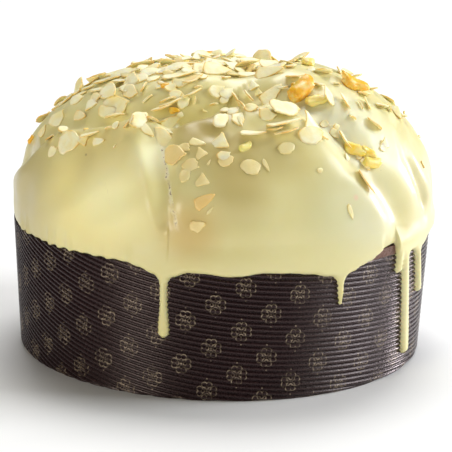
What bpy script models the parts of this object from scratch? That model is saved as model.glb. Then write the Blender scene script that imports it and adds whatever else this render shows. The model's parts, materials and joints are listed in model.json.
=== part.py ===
"""Low panettone in its paper baking case, glazed and scattered with sliced almonds."""
import math
import random

import bmesh
import bpy
from mathutils import Matrix, Vector, noise

# Sizes in metres. Z is up, the case stands on Z = 0 and its axis is the Z axis.
# Azimuths are in degrees from -Y (the front) towards +X.

# Paper case: a tapered wall of ridged paper with a smooth strip left at the rim.
CASE_HEIGHT = 0.0672
RIM_LEAN = 0.0020
CASE_RIM_RADIUS = 0.1056
CASE_BASE_RADIUS = 0.1020
PAPER_THICKNESS = 0.0013
RIDGE_PITCH = 0.00245
RIDGE_DEPTH = 0.0007
RIDGE_STARTS = 42
RIDGE_SIDES = 36
RIDGE_ANGLE = 45.0
STRIP_HEIGHT = 0.0035
DISC_THICKNESS = 0.0010
GAP = 0.0003

# Dome: a squared-off oval in side view, widest a little above the rim.
DOME_RADIUS = 0.1072
DOME_WAIST = 0.0790
DOME_TOP = 0.1462
DOME_SQUARENESS = 2.3

# Glaze: a poured skin that folds over the rim and runs down the case.
GLAZE_THICKNESS = 0.0026
GLAZE_EDGE_THICKNESS = 0.0021
INNER_SIDES = 36
INNER_ROWS = 10
OUTER_SIDES = 58
OUTER_ROWS = 21
CLOSE_TURNS = (-18.5, -16.5, -14.6, -12.7, -10.5, 28.5, 31, 32.7, 34.3, 36.5, 45, 47.5, 50, 52.4, 53.6, 56)
CLOSE_TURN_GAP = 1.6
SKIRT_STEPS = (0.30, 0.62, 0.86, 1.0)
SKIRT_ROUNDING = 0.0009
SKIRT_INSET = 0.002
SMOOTH_ANGLE = 38.0

# The cross cut opened in the oven into four creases that leave four lobes.
# Each crease is a list of points (x, y, height or 0 on top) in millimetres,
# its depth at both ends, its half width at both ends on its left and right side,
# and the lip raised on the left and on the right.
CREASES = (
    dict(name="front_left",
         path=((-16, -66, 0), (-26, -76, 0), (-29, -84, 0), (-26, -99, 105), (-25, -103, 89), (-22, -105, 74)),
         depth=(0.0085, 0.0012), left=(0.0050, 0.0040), right=(0.0095, 0.0060), lip=(0.0012, 0.0045)),
    dict(name="left",
         path=((-16, -66, 0), (-36, -63, 0), (-52, -60, 0), (-66, -51, 0), (-78, -40, 0), (-89, -29, 105),
               (-99, -12, 97), (-104, 3, 90)),
         depth=(0.0125, 0.0040), left=(0.0075, 0.0080), right=(0.0120, 0.0100), lip=(0.0040, 0.0)),
    dict(name="right",
         path=((-4, -58, 0), (17, -54, 0), (36, -57, 0), (52, -64, 0), (65, -72, 0), (81, -68, 93), (88, -62, 74)),
         depth=(0.0085, 0.0028), left=(0.0100, 0.0085), right=(0.0070, 0.0055), lip=(0.0, 0.0034)),
    dict(name="back",
         path=((-3, -56, 0), (9, -38, 0), (15, -10, 0), (24, 25, 0), (38, 66, 0), (46, 96, 95)),
         depth=(0.0070, 0.0030), left=(0.0100, 0.0110), right=(0.0100, 0.0110), lip=(0.0, 0.0)),
    dict(name="far_right",
         path=((84, -26, 0), (85, -34, 120), (87, -42, 115), (90, -46, 108), (95, -45, 98), (100, -39, 85)),
         depth=(0.0006, 0.0020), left=(0.0040, 0.0045), right=(0.0045, 0.0050), lip=(0.0006, 0.0010)),
)

# Where the lobes stand higher or lower than the plain dome: azimuth, fraction
# of the way down, rise and reach.
SWELLS = (
    (-12.0, 0.38, -0.0070, 0.019), (-20.0, 0.10, -0.0012, 0.030), (-180, 0.22, -0.0015, 0.034),
    (-150, 0.22, -0.0010, 0.034), (-120, 0.22, -0.0005, 0.034), (-60, 0.22, 0.0007, 0.034),
    (-30, 0.22, 0.0006, 0.034), (0, 0.22, 0.0006, 0.034), (30, 0.22, 0.0016, 0.034),
    (60, 0.22, 0.0027, 0.034), (90, 0.22, 0.0015, 0.034), (120, 0.22, -0.0009, 0.034),
    (150, 0.22, -0.0011, 0.034), (-180, 0.45, 0.0009, 0.034), (-150, 0.45, -0.0007, 0.034),
    (-120, 0.45, -0.0023, 0.034), (-90, 0.45, -0.0023, 0.034), (30, 0.45, 0.0005, 0.034),
    (60, 0.45, 0.0020, 0.034), (90, 0.45, 0.0005, 0.034), (120, 0.45, -0.0030, 0.034),
    (150, 0.45, 0.0014, 0.034), (-120, 0.68, 0.0009, 0.034), (-90, 0.68, -0.0043, 0.034),
    (90, 0.68, -0.0009, 0.034), (120, 0.68, -0.0016, 0.034), (-120, 0.90, -0.0017, 0.034),
    (-90, 0.90, -0.0014, 0.034),
)

# A lip's crest and its spread to either side, in half widths of its crease.
LIP_PLACE = 1.45
LIP_INNER_SPREAD = 0.6
LIP_OUTER_SPREAD = 1.6
WAVINESS = 0.0005
WAVE_LENGTH = 0.030

# Height of the glaze's lower edge by azimuth, in millimetres above the table.
EDGE = ((-180, 64), (-165, 62), (-150, 63.5), (-138, 60), (-125, 64.5), (-105, 65.6), (-90, 66.0), (-76, 66.0),
        (-60, 66.2), (-45, 66.4), (-30, 66.8), (-25, 66.2), (-22, 65), (-18.5, 63), (-16.5, 60),
        (-14.5, 57.5), (-12.6, 60.5), (-10, 62), (-8, 64), (-4, 63.7), (2, 62.6), (5, 62.8), (11, 64.3),
        (18, 63.6), (24, 62.3), (28.5, 60), (31, 57.5), (32.7, 54.5), (34.3, 58), (36.5, 61), (39, 63),
        (42, 64.3), (45, 66.8), (47, 68.8),
        (50, 69.8), (52.4, 70.2), (53.6, 64), (56, 60), (60, 60), (64, 60), (68, 60), (71, 64), (75, 66),
        (88, 65), (102, 62.5), (112, 60.5), (118, 62), (135, 65), (150, 62), (165, 64.5), (180, 64))

# Drips: azimuth and height at the top and the tip, width at the neck and at the bulb.
DRIPS = (
    (-14.6, 61, -14.6, 31.0, 0.0042, 0.0054),
    (32.7, 58, 33.0, 45.5, 0.0030, 0.0014),
    (57.5, 66, 62.6, 9.0, 0.0054, 0.0066),
    (65.0, 66, 69.5, 38.0, 0.0046, 0.0048),
    (54.6, 67, 54.6, 54.0, 0.0040, 0.0042),
    (110.5, 63, 111.5, 34.0, 0.0044, 0.0054),
    (-138.0, 62, -137.0, 40.0, 0.0042, 0.0052),
)
DRIP_FLATNESS = 0.96
DRIP_TIP_TAPER = 12
DRIP_SIDES = 8
DRIP_ROWS = 6

# Almond flakes: thin pointed ovals, most of them on the upper half.
FLAKE_COUNT = 54
FLAKE_LENGTH = (0.0095, 0.0155)
FLAKE_THICKNESS = 0.0012
FLAKE_SPACING = 0.0085
FLAKE_WIDTH_SHARE = 0.56
FLAKE_SUNK_SHARE = 0.55
FLAKE_SIDES = 6
FLAKE_SEED = 7
# Candied peel: x, y in millimetres and length.
PEEL_THICKNESS = 0.0045
PEEL = ((38, -44, 0.013), (60, -40, 0.012), (66, -77, 0.009), (-66, -38, 0.009))


def millimetres(value):
    return value * 0.001


def spread(values, amount):
    return values[0] + (values[1] - values[0]) * amount


def soft_step(low, high, value):
    amount = min(max((value - low) / (high - low), 0.0), 1.0)
    return amount * amount * (3.0 - 2.0 * amount)


def at(azimuth, radius, height):
    turn = math.radians(azimuth)
    return Vector((radius * math.sin(turn), -radius * math.cos(turn), height))


def rim_height(azimuth):
    """The cake has lifted one side of the rim a little over the other."""
    return CASE_HEIGHT + RIM_LEAN * math.sin(math.radians(azimuth))


def case_radius(height):
    return CASE_BASE_RADIUS + (CASE_RIM_RADIUS - CASE_BASE_RADIUS) * height / CASE_HEIGHT


def table_value(table, place):
    for (left, low), (right, high) in zip(table, table[1:]):
        if left <= place <= right:
            amount = soft_step(left, right, place)
            return low + (high - low) * amount
    return table[-1][1]


# The dome is charted by a turn and a fraction of the way from its top to its waist.
def chart(azimuth, fraction):
    turn = math.radians(azimuth)
    return Vector((fraction * math.sin(turn), -fraction * math.cos(turn)))


def base_point(azimuth, fraction):
    lean = fraction * math.pi / 2
    power = 2.0 / DOME_SQUARENESS
    radius = DOME_RADIUS * math.sin(lean) ** power
    height = DOME_WAIST + (DOME_TOP - DOME_WAIST) * max(math.cos(lean), 0.0) ** power
    return at(azimuth, radius, height)


def base_normal(azimuth, fraction):
    lean = fraction * math.pi / 2
    power = 2.0 - 2.0 / DOME_SQUARENESS
    out = math.sin(lean) ** power / DOME_RADIUS
    rise = max(math.cos(lean), 0.0) ** power / (DOME_TOP - DOME_WAIST)
    normal = at(azimuth, out, rise)
    return normal.normalized()


def charted(x, y, height):
    radius = min(math.hypot(x, y) * 0.001 / DOME_RADIUS, 1.0)
    azimuth = math.degrees(math.atan2(x, -y))
    if height:
        rise = (millimetres(height) - DOME_WAIST) / (DOME_TOP - DOME_WAIST)
        if rise < 0:
            return chart(azimuth, 1.0 - rise)
        lean = math.acos(rise ** (DOME_SQUARENESS / 2.0))
    else:
        lean = math.asin(radius ** (DOME_SQUARENESS / 2.0))
    return chart(azimuth, lean * 2.0 / math.pi)


CHART_SIZE = 0.140
CREASE_LINES = [[charted(*point) for point in crease["path"]] for crease in CREASES]
HOLLOW_PLACE = chart(SWELLS[0][0], SWELLS[0][1])


def along_line(place, line):
    """Distance to the line, the side it lies on and how far along it is."""
    best = (9.0, 1.0, 0.0)
    for index, (start, end) in enumerate(zip(line, line[1:])):
        step = end - start
        amount = min(max((place - start).dot(step) / step.length_squared, 0.0), 1.0)
        away = place - start - step * amount
        if away.length < best[0]:
            side = 1.0 if step.cross(place - start) > 0 else -1.0
            best = (away.length, side, (index + amount) / (len(line) - 1))
    return best


def rise_at(place):
    """Height of the lobes and creases over the plain dome."""
    total = 0.0
    for crease, line in zip(CREASES, CREASE_LINES):
        distance, side, way = along_line(place, line)
        distance *= CHART_SIZE
        depth = spread(crease["depth"], way)
        width = spread(crease["left"] if side > 0 else crease["right"], way)
        fade = 1.0 - soft_step(0.93, 1.06, place.length)
        total -= depth * math.exp(-(distance / width) ** 2) * (0.35 + 0.65 * fade)
        lip = crease["lip"][0] if side > 0 else crease["lip"][1]
        beyond = distance - LIP_PLACE * width
        reach = beyond / (width * (LIP_INNER_SPREAD if beyond < 0 else LIP_OUTER_SPREAD))
        total += lip * math.exp(-reach * reach) * (1.0 - 0.7 * way) * fade
    for azimuth, fraction, rise, reach in SWELLS:
        away = (place - chart(azimuth, fraction)).length * CHART_SIZE / reach
        total += rise * math.exp(-away * away)
    wave = noise.noise(Vector((place.x, place.y, 0.3)) * CHART_SIZE / WAVE_LENGTH)
    return total + WAVINESS * wave * (1.0 - soft_step(0.9, 1.05, place.length))


def lowest_near(place):
    reach = 0.055
    ring = [Vector((math.sin(turn), math.cos(turn))) * reach for turn in (0, 1.05, 2.09, 3.14, 4.19, 5.24)]
    return min([rise_at(place)] + [rise_at(place + step) for step in ring])


def glaze_point(azimuth, fraction):
    rise = rise_at(chart(azimuth, fraction))
    return base_point(azimuth, fraction) + base_normal(azimuth, fraction) * rise


def inner_point(azimuth, fraction, depth):
    rise = lowest_near(chart(azimuth, fraction)) - depth
    return base_point(azimuth, fraction) + base_normal(azimuth, fraction) * rise


def skirt_point(azimuth, fraction):
    """The glaze from the dome's waist over the rim down to its lower edge."""
    edge = millimetres(table_value(EDGE, azimuth))
    waist = glaze_point(azimuth, 1.0)
    height = DOME_WAIST + (edge - DOME_WAIST) * fraction
    over_rim = soft_step(-0.0012, 0.0004, edge - rim_height(azimuth))
    thickness = GLAZE_EDGE_THICKNESS * (1.0 - over_rim) - RIDGE_DEPTH * over_rim
    on_case = case_radius(height) + RIDGE_DEPTH / 2 + GAP + thickness
    radius_waist = math.hypot(waist.x, waist.y)
    blend = soft_step(0.0, DOME_WAIST - rim_height(azimuth), DOME_WAIST - height)
    radius = radius_waist + (on_case - radius_waist) * blend
    radius -= SKIRT_ROUNDING * soft_step(0.7, 1.0, fraction)
    return at(azimuth, radius, height)


def new_object(name, mesh, group):
    thing = bpy.data.objects.new(name, mesh)
    group.objects.link(thing)
    return thing


def closed_rings(name, rings, group, pole_start=None, pole_end=None):
    """A solid from rings of equal count, closed by a pole or a fan at each end."""
    net = bmesh.new()
    rows = [[net.verts.new(point) for point in ring] for ring in rings]
    count = len(rings[0])
    for low, high in zip(rows, rows[1:]):
        for k in range(count):
            n = (k + 1) % count
            net.faces.new((low[k], low[n], high[n]))
            net.faces.new((low[k], high[n], high[k]))
    for row, pole in ((rows[0], pole_start), (rows[-1], pole_end)):
        middle = net.verts.new(pole if pole is not None else sum((v.co for v in row), Vector()) / count)
        for k in range(count):
            net.faces.new((row[k], row[(k + 1) % count], middle))
    bmesh.ops.recalc_face_normals(net, faces=net.faces)
    mesh = bpy.data.meshes.new(name)
    net.to_mesh(mesh)
    net.free()
    return new_object(name, mesh, group)


def painted(thing, colour, roughness, metallic=0.0):
    surface = bpy.data.materials.new(thing.name)
    surface.use_nodes = True
    shader = surface.node_tree.nodes["Principled BSDF"]
    shader.inputs["Base Color"].default_value = (*colour, 1.0)
    shader.inputs["Roughness"].default_value = roughness
    shader.inputs["Metallic"].default_value = metallic
    thing.data.materials.clear()
    thing.data.materials.append(surface)


def shaded(thing, degrees):
    for face in thing.data.polygons:
        face.use_smooth = True
    thing.data.set_sharp_from_angle(angle=math.radians(degrees))


def cut_with(thing, operation, group):
    """One Boolean with all that a collection holds, applied, and the collection removed."""
    step = thing.modifiers.new(operation.lower(), "BOOLEAN")
    step.operation = operation
    step.solver = "EXACT"
    step.operand_type = "COLLECTION"
    step.collection = group
    bpy.context.view_layer.update()
    ready = thing.evaluated_get(bpy.context.evaluated_depsgraph_get())
    mesh = bpy.data.meshes.new_from_object(ready)
    thing.modifiers.clear()
    thing.data = mesh
    for used in list(group.objects):
        bpy.data.objects.remove(used, do_unlink=True)
    bpy.data.collections.remove(group)


def keep_largest_piece(thing):
    """Drops any scrap that a Boolean has left loose beside the main body."""
    net = bmesh.new()
    net.from_mesh(thing.data)
    pieces = []
    waiting = set(net.verts)
    while waiting:
        piece = [waiting.pop()]
        for vert in piece:
            for edge in vert.link_edges:
                other = edge.other_vert(vert)
                if other in waiting:
                    waiting.remove(other)
                    piece.append(other)
        pieces.append(piece)
    pieces.sort(key=len)
    for piece in pieces[:-1]:
        bmesh.ops.delete(net, geom=piece, context="VERTS")
    net.to_mesh(thing.data)
    net.free()


def clean_start():
    for thing in list(bpy.data.objects):
        bpy.data.objects.remove(thing, do_unlink=True)


def build_wall(group):
    """Ridged wall: ridges wind slowly round the case, trimmed level at both ends."""
    top = CASE_HEIGHT - STRIP_HEIGHT
    climb = RIDGE_STARTS * RIDGE_PITCH
    half = RIDGE_PITCH / 2
    rows = 2 * int((top + climb) / RIDGE_PITCH + 3)
    net = bmesh.new()
    grid = []
    for k in range(RIDGE_SIDES):
        azimuth = 360.0 * k / RIDGE_SIDES
        drop = climb * k / RIDGE_SIDES
        column = []
        for row in range(rows):
            height = row * half - drop - half
            depth = RIDGE_DEPTH / 2 if row % 2 else -RIDGE_DEPTH / 2
            column.append(net.verts.new(at(azimuth, case_radius(height) + depth, height)))
        grid.append(column)
    for k in range(RIDGE_SIDES):
        left = grid[k]
        right = grid[(k + 1) % RIDGE_SIDES]
        shift = 2 * RIDGE_STARTS if k == RIDGE_SIDES - 1 else 0
        for row in range(rows - 1):
            if shift:
                low = row - shift
                if low < 0:
                    continue
                net.faces.new((left[row], right[low], right[low + 1], left[row + 1]))
            else:
                net.faces.new((left[row], right[row], right[row + 1], left[row + 1]))
    lean = RIM_LEAN / CASE_RIM_RADIUS
    for height, slope, outer in ((0.0, 0.0, False), (top, lean, True)):
        bmesh.ops.bisect_plane(net, geom=net.verts[:] + net.edges[:] + net.faces[:], dist=1e-7,
                               plane_co=(0, 0, height), plane_no=(-slope, 0, 1),
                               clear_inner=not outer, clear_outer=outer)
    bmesh.ops.remove_doubles(net, verts=net.verts[:], dist=0.00005)
    edges = [edge for edge in net.edges if edge.is_boundary]
    upper = [edge for edge in edges if (edge.verts[0].co.z + edge.verts[1].co.z) / 2 > top / 2]
    lower = [edge for edge in edges if edge not in set(upper)]
    steps = (
        (upper, ((0.0, STRIP_HEIGHT), (0.0, 0.0), (-PAPER_THICKNESS, 0.0))),
        (lower, ((-PAPER_THICKNESS, None),)),
    )
    ends = []
    for loop, stations in steps:
        for inset, below_rim in stations:
            made = bmesh.ops.extrude_edge_only(net, edges=loop)["geom"]
            loop = [item for item in made if isinstance(item, bmesh.types.BMEdge)]
            for item in made:
                if isinstance(item, bmesh.types.BMVert):
                    azimuth = math.degrees(math.atan2(item.co.x, -item.co.y))
                    height = 0.0 if below_rim is None else rim_height(azimuth) - below_rim
                    item.co = at(azimuth, case_radius(height) + inset, height)
        ends.append(loop)
    bmesh.ops.bridge_loops(net, edges=ends[0] + ends[1])
    bmesh.ops.triangulate(net, faces=net.faces[:])
    bmesh.ops.recalc_face_normals(net, faces=net.faces)
    mesh = bpy.data.meshes.new("case_wall")
    net.to_mesh(mesh)
    net.free()
    wall = new_object("case_wall", mesh, group)
    painted(wall, (0.030, 0.018, 0.017), 0.62)
    shaded(wall, RIDGE_ANGLE)
    return wall


def build_disc(group):
    """Flat paper disc inside the foot of the wall."""
    radius = case_radius(0.0) - PAPER_THICKNESS - GAP
    top_radius = case_radius(DISC_THICKNESS) - PAPER_THICKNESS - GAP
    turns = [360.0 * k / RIDGE_SIDES for k in range(RIDGE_SIDES)]
    rings = [[at(turn, radius, 0.0) for turn in turns], [at(turn, top_radius, DISC_THICKNESS) for turn in turns]]
    disc = closed_rings("case_base", rings, group)
    painted(disc, (0.035, 0.021, 0.018), 0.7)
    return disc


def inner_rings(depth, sides, rows):
    turns = [-180.0 + 360.0 * k / sides for k in range(sides)]
    return [[inner_point(turn, row / rows, depth) for turn in turns] for row in range(1, rows + 1)]


def build_cake(group):
    """Baked dough: fills the case and rises to just under the glaze."""
    depth = GLAZE_THICKNESS + 2 * GAP
    rings = inner_rings(depth, INNER_SIDES, INNER_ROWS)
    turns = [-180.0 + 360.0 * k / INNER_SIDES for k in range(INNER_SIDES)]
    clearance = PAPER_THICKNESS + 3 * GAP
    rings.append([at(turn, case_radius(rim_height(turn)) - clearance, rim_height(turn)) for turn in turns])
    foot = DISC_THICKNESS + GAP
    rings.append([at(turn, case_radius(foot) - clearance, foot) for turn in turns])
    cake = closed_rings("cake", rings, group, inner_point(0.0, 0.0, depth))
    painted(cake, (0.42, 0.20, 0.075), 0.85)
    shaded(cake, 60)
    return cake


def drip_solid(name, drip, group):
    """A run of glaze down the case, rounded at its tip."""
    top_turn, top_height, tip_turn, tip_height, neck, bulb = drip
    rings = []
    for row in range(DRIP_ROWS + 1):
        way = row / DRIP_ROWS
        turn = top_turn + (tip_turn - top_turn) * way
        height = millimetres(top_height + (tip_height - top_height) * way)
        width = neck + (bulb - neck) * soft_step(0.2, 0.9, way)
        width *= math.sqrt(max(1.0 - way ** DRIP_TIP_TAPER, 0.25))
        middle = case_radius(height) + RIDGE_DEPTH / 2 + GAP
        ring = []
        for k in range(DRIP_SIDES):
            angle = 2 * math.pi * (k + 0.5) / DRIP_SIDES
            across = math.degrees(width / 2 * math.cos(angle) / middle)
            out = width / 2 * DRIP_FLATNESS * math.sin(angle)
            ring.append(at(turn + across, middle + out, height))
        rings.append(ring)
    tip = at(tip_turn, case_radius(millimetres(tip_height)) + RIDGE_DEPTH / 2 + GAP,
             millimetres(tip_height) - bulb * 0.2)
    return closed_rings(name, rings, group, None, tip)


def flake_solid(name, place, heading, tilt, length, thickness, group):
    """A thin pointed oval slice lying on the glaze."""
    azimuth = math.degrees(math.atan2(place.x, -place.y))
    fraction = place.length
    step = 0.012
    here = glaze_point(azimuth, fraction)
    across = glaze_point(azimuth + math.degrees(step / max(fraction, 0.05)), fraction) - here
    down = glaze_point(azimuth, fraction + step) - here
    up = down.cross(across).normalized()
    if up.z < 0:
        up = -up
    frame = Matrix((down.normalized(), up.cross(down).normalized(), up)).transposed()
    frame = frame @ Matrix.Rotation(heading, 3, "Z") @ Matrix.Rotation(tilt, 3, "X")
    width = length * FLAKE_WIDTH_SHARE
    low = []
    high = []
    for k in range(FLAKE_SIDES):
        angle = 2 * math.pi * k / FLAKE_SIDES
        point = 1.0 + 0.16 * math.cos(angle)
        x = length / 2 * math.cos(angle) * point
        y = width / 2 * math.sin(angle) * (1.0 - 0.18 * math.cos(angle))
        low.append(here + frame @ Vector((x, y, -thickness * FLAKE_SUNK_SHARE)))
        high.append(here + frame @ Vector((x * 0.96, y * 0.96, thickness * (1.0 - FLAKE_SUNK_SHARE))))
    net = bmesh.new()
    bottom = [net.verts.new(point) for point in low]
    top = [net.verts.new(point) for point in high]
    net.faces.new(bottom)
    net.faces.new(top)
    for k in range(FLAKE_SIDES):
        n = (k + 1) % FLAKE_SIDES
        net.faces.new((bottom[k], bottom[n], top[n], top[k]))
    bmesh.ops.recalc_face_normals(net, faces=net.faces)
    mesh = bpy.data.meshes.new(name)
    net.to_mesh(mesh)
    net.free()
    return new_object(name, mesh, group)


def flake_chance(place):
    """How thickly the flakes lie: on top and along the lips of the lobes."""
    on_top = 1.0 - soft_step(0.34, 0.60, place.length)
    nearest = min(along_line(place, line)[0] * CHART_SIZE for line in CREASE_LINES[:3])
    near_crease = math.exp(-(nearest / 0.014) ** 2) * (1.0 - soft_step(0.55, 0.85, place.length))
    bare = math.exp(-((place - HOLLOW_PLACE).length * CHART_SIZE / 0.012) ** 2)
    return max(on_top, 0.8 * near_crease) * (1.0 - 0.7 * bare)


def scattered(pick):
    places = []
    tries = 0
    while len(places) < FLAKE_COUNT and tries < 20000:
        tries += 1
        place = Vector((pick.uniform(-0.8, 0.8), pick.uniform(-0.8, 0.8)))
        chance = pick.random()
        if chance > flake_chance(place):
            continue
        if all((place - other).length * CHART_SIZE > FLAKE_SPACING for other in places):
            places.append(place)
    return places


def build_glaze(group):
    """Poured glaze with its drips, and the almond flakes set into it."""
    even = [-180.0 + 360.0 * k / OUTER_SIDES for k in range(OUTER_SIDES)]
    apart = [turn for turn in even if all(abs(turn - other) > CLOSE_TURN_GAP for other in CLOSE_TURNS)]
    turns = sorted(apart + list(CLOSE_TURNS))
    rings = [[glaze_point(turn, row / OUTER_ROWS) for turn in turns] for row in range(1, OUTER_ROWS + 1)]
    for fraction in SKIRT_STEPS:
        rings.append([skirt_point(turn, fraction) for turn in turns])
    inner = []
    for turn, point in zip(turns, rings[-1]):
        inner.append(at(turn, case_radius(point.z) - SKIRT_INSET, point.z))
    rings.append(inner)
    glaze = closed_rings("glaze", rings, group, glaze_point(0.0, 0.0), Vector((0.0, 0.0, CASE_HEIGHT)))

    joined = bpy.data.collections.new("joined")
    bpy.context.scene.collection.children.link(joined)
    for number, drip in enumerate(DRIPS):
        drip_solid("drip_%d" % number, drip, joined)
    pick = random.Random(FLAKE_SEED)
    for number, place in enumerate(scattered(pick)):
        length = spread(FLAKE_LENGTH, pick.random() ** 1.3)
        flake_solid("flake_%02d" % number, place, pick.uniform(0, 2 * math.pi), pick.gauss(0, 0.16),
                    length, FLAKE_THICKNESS, joined)
    for number, (x, y, length) in enumerate(PEEL):
        flake_solid("peel_%d" % number, charted(x, y, 0), number, 0.0, length, PEEL_THICKNESS, joined)
    cut_with(glaze, "UNION", joined)

    cutter = bpy.data.collections.new("cutter")
    bpy.context.scene.collection.children.link(cutter)
    hole = inner_rings(GLAZE_THICKNESS, INNER_SIDES, INNER_ROWS)
    turns = [-180.0 + 360.0 * k / INNER_SIDES for k in range(INNER_SIDES)]
    tops = [(turn, rim_height(turn) + GAP) for turn in turns]
    hole.append([at(turn, case_radius(height) - PAPER_THICKNESS - GAP, height) for turn, height in tops])
    clearance = RIDGE_DEPTH / 2 + GAP
    hole.append([at(turn, case_radius(height) + clearance, height) for turn, height in tops])
    hole.append([at(turn, case_radius(-0.01) + clearance, -0.01) for turn in turns])
    closed_rings("hollow", hole, cutter, inner_point(0.0, 0.0, GLAZE_THICKNESS))
    cut_with(glaze, "DIFFERENCE", cutter)
    keep_largest_piece(glaze)
    painted(glaze, (0.80, 0.74, 0.50), 0.32)
    shaded(glaze, SMOOTH_ANGLE)
    return glaze


def main():
    clean_start()
    group = bpy.data.collections.new("panettone")
    bpy.context.scene.collection.children.link(group)
    build_wall(group)
    build_disc(group)
    build_cake(group)
    build_glaze(group)


main()
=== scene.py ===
import json
import math
import random

import bmesh
import bpy
import numpy as np
from mathutils import Matrix, Vector

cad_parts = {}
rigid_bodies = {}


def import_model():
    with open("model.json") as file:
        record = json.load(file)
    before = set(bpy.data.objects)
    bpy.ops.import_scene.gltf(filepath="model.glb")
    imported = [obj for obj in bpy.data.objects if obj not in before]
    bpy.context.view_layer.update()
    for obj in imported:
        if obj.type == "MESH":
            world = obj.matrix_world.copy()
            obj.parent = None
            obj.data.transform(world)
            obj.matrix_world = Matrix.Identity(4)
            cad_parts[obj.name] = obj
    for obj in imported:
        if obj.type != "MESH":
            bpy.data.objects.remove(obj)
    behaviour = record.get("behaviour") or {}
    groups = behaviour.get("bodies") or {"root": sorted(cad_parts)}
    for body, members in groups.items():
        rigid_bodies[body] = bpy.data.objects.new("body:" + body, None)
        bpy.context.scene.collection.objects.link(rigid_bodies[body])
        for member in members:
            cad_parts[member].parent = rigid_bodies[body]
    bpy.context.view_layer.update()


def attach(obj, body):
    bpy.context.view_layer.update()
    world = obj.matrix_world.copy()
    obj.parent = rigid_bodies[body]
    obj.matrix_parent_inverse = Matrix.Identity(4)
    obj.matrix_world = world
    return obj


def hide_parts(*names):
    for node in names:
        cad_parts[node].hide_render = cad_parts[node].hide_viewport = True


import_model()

# A low panettone in its own baking case: pale glaze over four lobes, sliced almonds on top.
# Metres, Z up, the case's axis is the Z axis. Turns run from -Y (the front) towards +X.


# The case wall. One strip of dark brown ridged paper, printed in dull gold before it was
# ridged, rolled into a slightly tapered ring and glued at the back. The ridges were pressed
# askew, and the paper behind them shows as a smooth strip at the rim.
CASE_HEIGHT = 0.0672
RIM_LEAN = 0.0020
RIM_RADIUS = 0.1056
BASE_RADIUS = 0.1020
PAPER = 0.0013
RIDGE_PITCH = 0.00245
RIDGE_DEPTH = 0.00105
RIDGE_SHAPE = 0.75
RIDGE_STARTS = 44
RIDGE_SWAY = (0.139, 0.048)
STEPS_PER_RIDGE = 8
WALL_SIDES = 360
WALL_ROWS = 700
FIRST_ROW = 0.072
RIM_FOLD = 0.0012
FOOT_ROUND = 0.0016
FOOT_DRAW_IN = 0.0009
LAP = 0.0005
LAP_START = 0.470
LAP_RISE = 0.003
LAP_END = 0.499
STRIP_HEIGHT = 0.0044
STRIP_TURN = 0.87
STRIP_FADE = (6.0, 4.6)
SAME_SPOT = 0.00002


def new_tree(name, inputs):
    """A Geometry Nodes tree with named number inputs, a geometry in and a geometry out."""
    tree = bpy.data.node_groups.new(name, "GeometryNodeTree")
    tree.interface.new_socket("Geometry", in_out="INPUT", socket_type="NodeSocketGeometry")
    for label, value in inputs.items():
        kind = "NodeSocketInt" if isinstance(value, int) else "NodeSocketFloat"
        tree.interface.new_socket(label, in_out="INPUT", socket_type=kind)
    tree.interface.new_socket("Geometry", in_out="OUTPUT", socket_type="NodeSocketGeometry")
    return tree


def put(tree, kind, values=(), **settings):
    """One node: its settings by name, its inputs in order (None leaves one as it is)."""
    node = tree.nodes.new(kind)
    for label, value in settings.items():
        setattr(node, label, value)
    open_sockets = [socket for socket in node.inputs if socket.enabled]
    for socket, value in zip(open_sockets, values):
        if value is None:
            continue
        if isinstance(value, bpy.types.NodeSocket):
            tree.links.new(value, socket)
        else:
            socket.default_value = value
    return node


def maths(tree, operation, *values):
    return put(tree, "ShaderNodeMath", values, operation=operation).outputs[0]


def times(tree, one, other):
    return maths(tree, "MULTIPLY", one, other)


def plus(tree, one, other):
    return maths(tree, "ADD", one, other)


def minus(tree, one, other):
    return maths(tree, "SUBTRACT", one, other)


def ranged(tree, value, low, high, at_low, at_high):
    """Carries a value from one range over to another and keeps it there."""
    return put(tree, "ShaderNodeMapRange", (value, low, high, at_low, at_high)).outputs[0]


def out_of(node):
    return next(socket for socket in node.outputs if socket.enabled)


def set_out(name, data):
    """A new object in the scene, at the origin."""
    thing = bpy.data.objects.new(name, data)
    bpy.context.scene.collection.objects.link(thing)
    return thing


def grown(name, tree, inputs, start=None):
    """Runs the tree once on a fresh object and keeps the result as a plain mesh."""
    thing = set_out(name, start if start is not None else bpy.data.meshes.new(name + "_start"))
    step = thing.modifiers.new("grow", "NODES")
    step.node_group = tree
    for item in tree.interface.items_tree:
        if item.item_type == "SOCKET" and item.in_out == "INPUT" and item.name in inputs:
            step[item.identifier] = inputs[item.name]
    bpy.context.view_layer.update()
    ready = thing.evaluated_get(bpy.context.evaluated_depsgraph_get())
    made = bpy.data.meshes.new_from_object(ready)
    made.name = name
    thing.modifiers.clear()
    thing.data = made
    return thing


def soft_step(low, high, value):
    amount = np.clip((value - low) / (high - low), 0.0, 1.0)
    return amount * amount * (3.0 - 2.0 * amount)


wall_sizes = {
    "Rim radius": RIM_RADIUS, "Base radius": BASE_RADIUS, "Height": CASE_HEIGHT, "Lean": RIM_LEAN,
    "Paper": PAPER, "Pitch": RIDGE_PITCH, "Depth": RIDGE_DEPTH, "Strip": STRIP_HEIGHT,
    "Starts": RIDGE_STARTS, "Sides": WALL_SIDES, "Rows": WALL_ROWS,
}
w = new_tree("ridged_wall", wall_sizes)
source = put(w, "NodeGroupInput").outputs
columns = plus(w, source["Sides"], 1.0)
grid = put(w, "GeometryNodeMeshGrid", (1.0, 1.0, columns, source["Rows"]))
place = put(w, "ShaderNodeSeparateXYZ", (put(w, "GeometryNodeInputPosition").outputs[0],)).outputs
turn = times(w, place["X"], 2 * math.pi)
step = maths(w, "DIVIDE", source["Pitch"], float(STEPS_PER_RIDGE))
row = times(w, minus(w, source["Rows"], 1.0), plus(w, place["Y"], 0.5))
sway = plus(w, turn, math.pi / 2)
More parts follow.
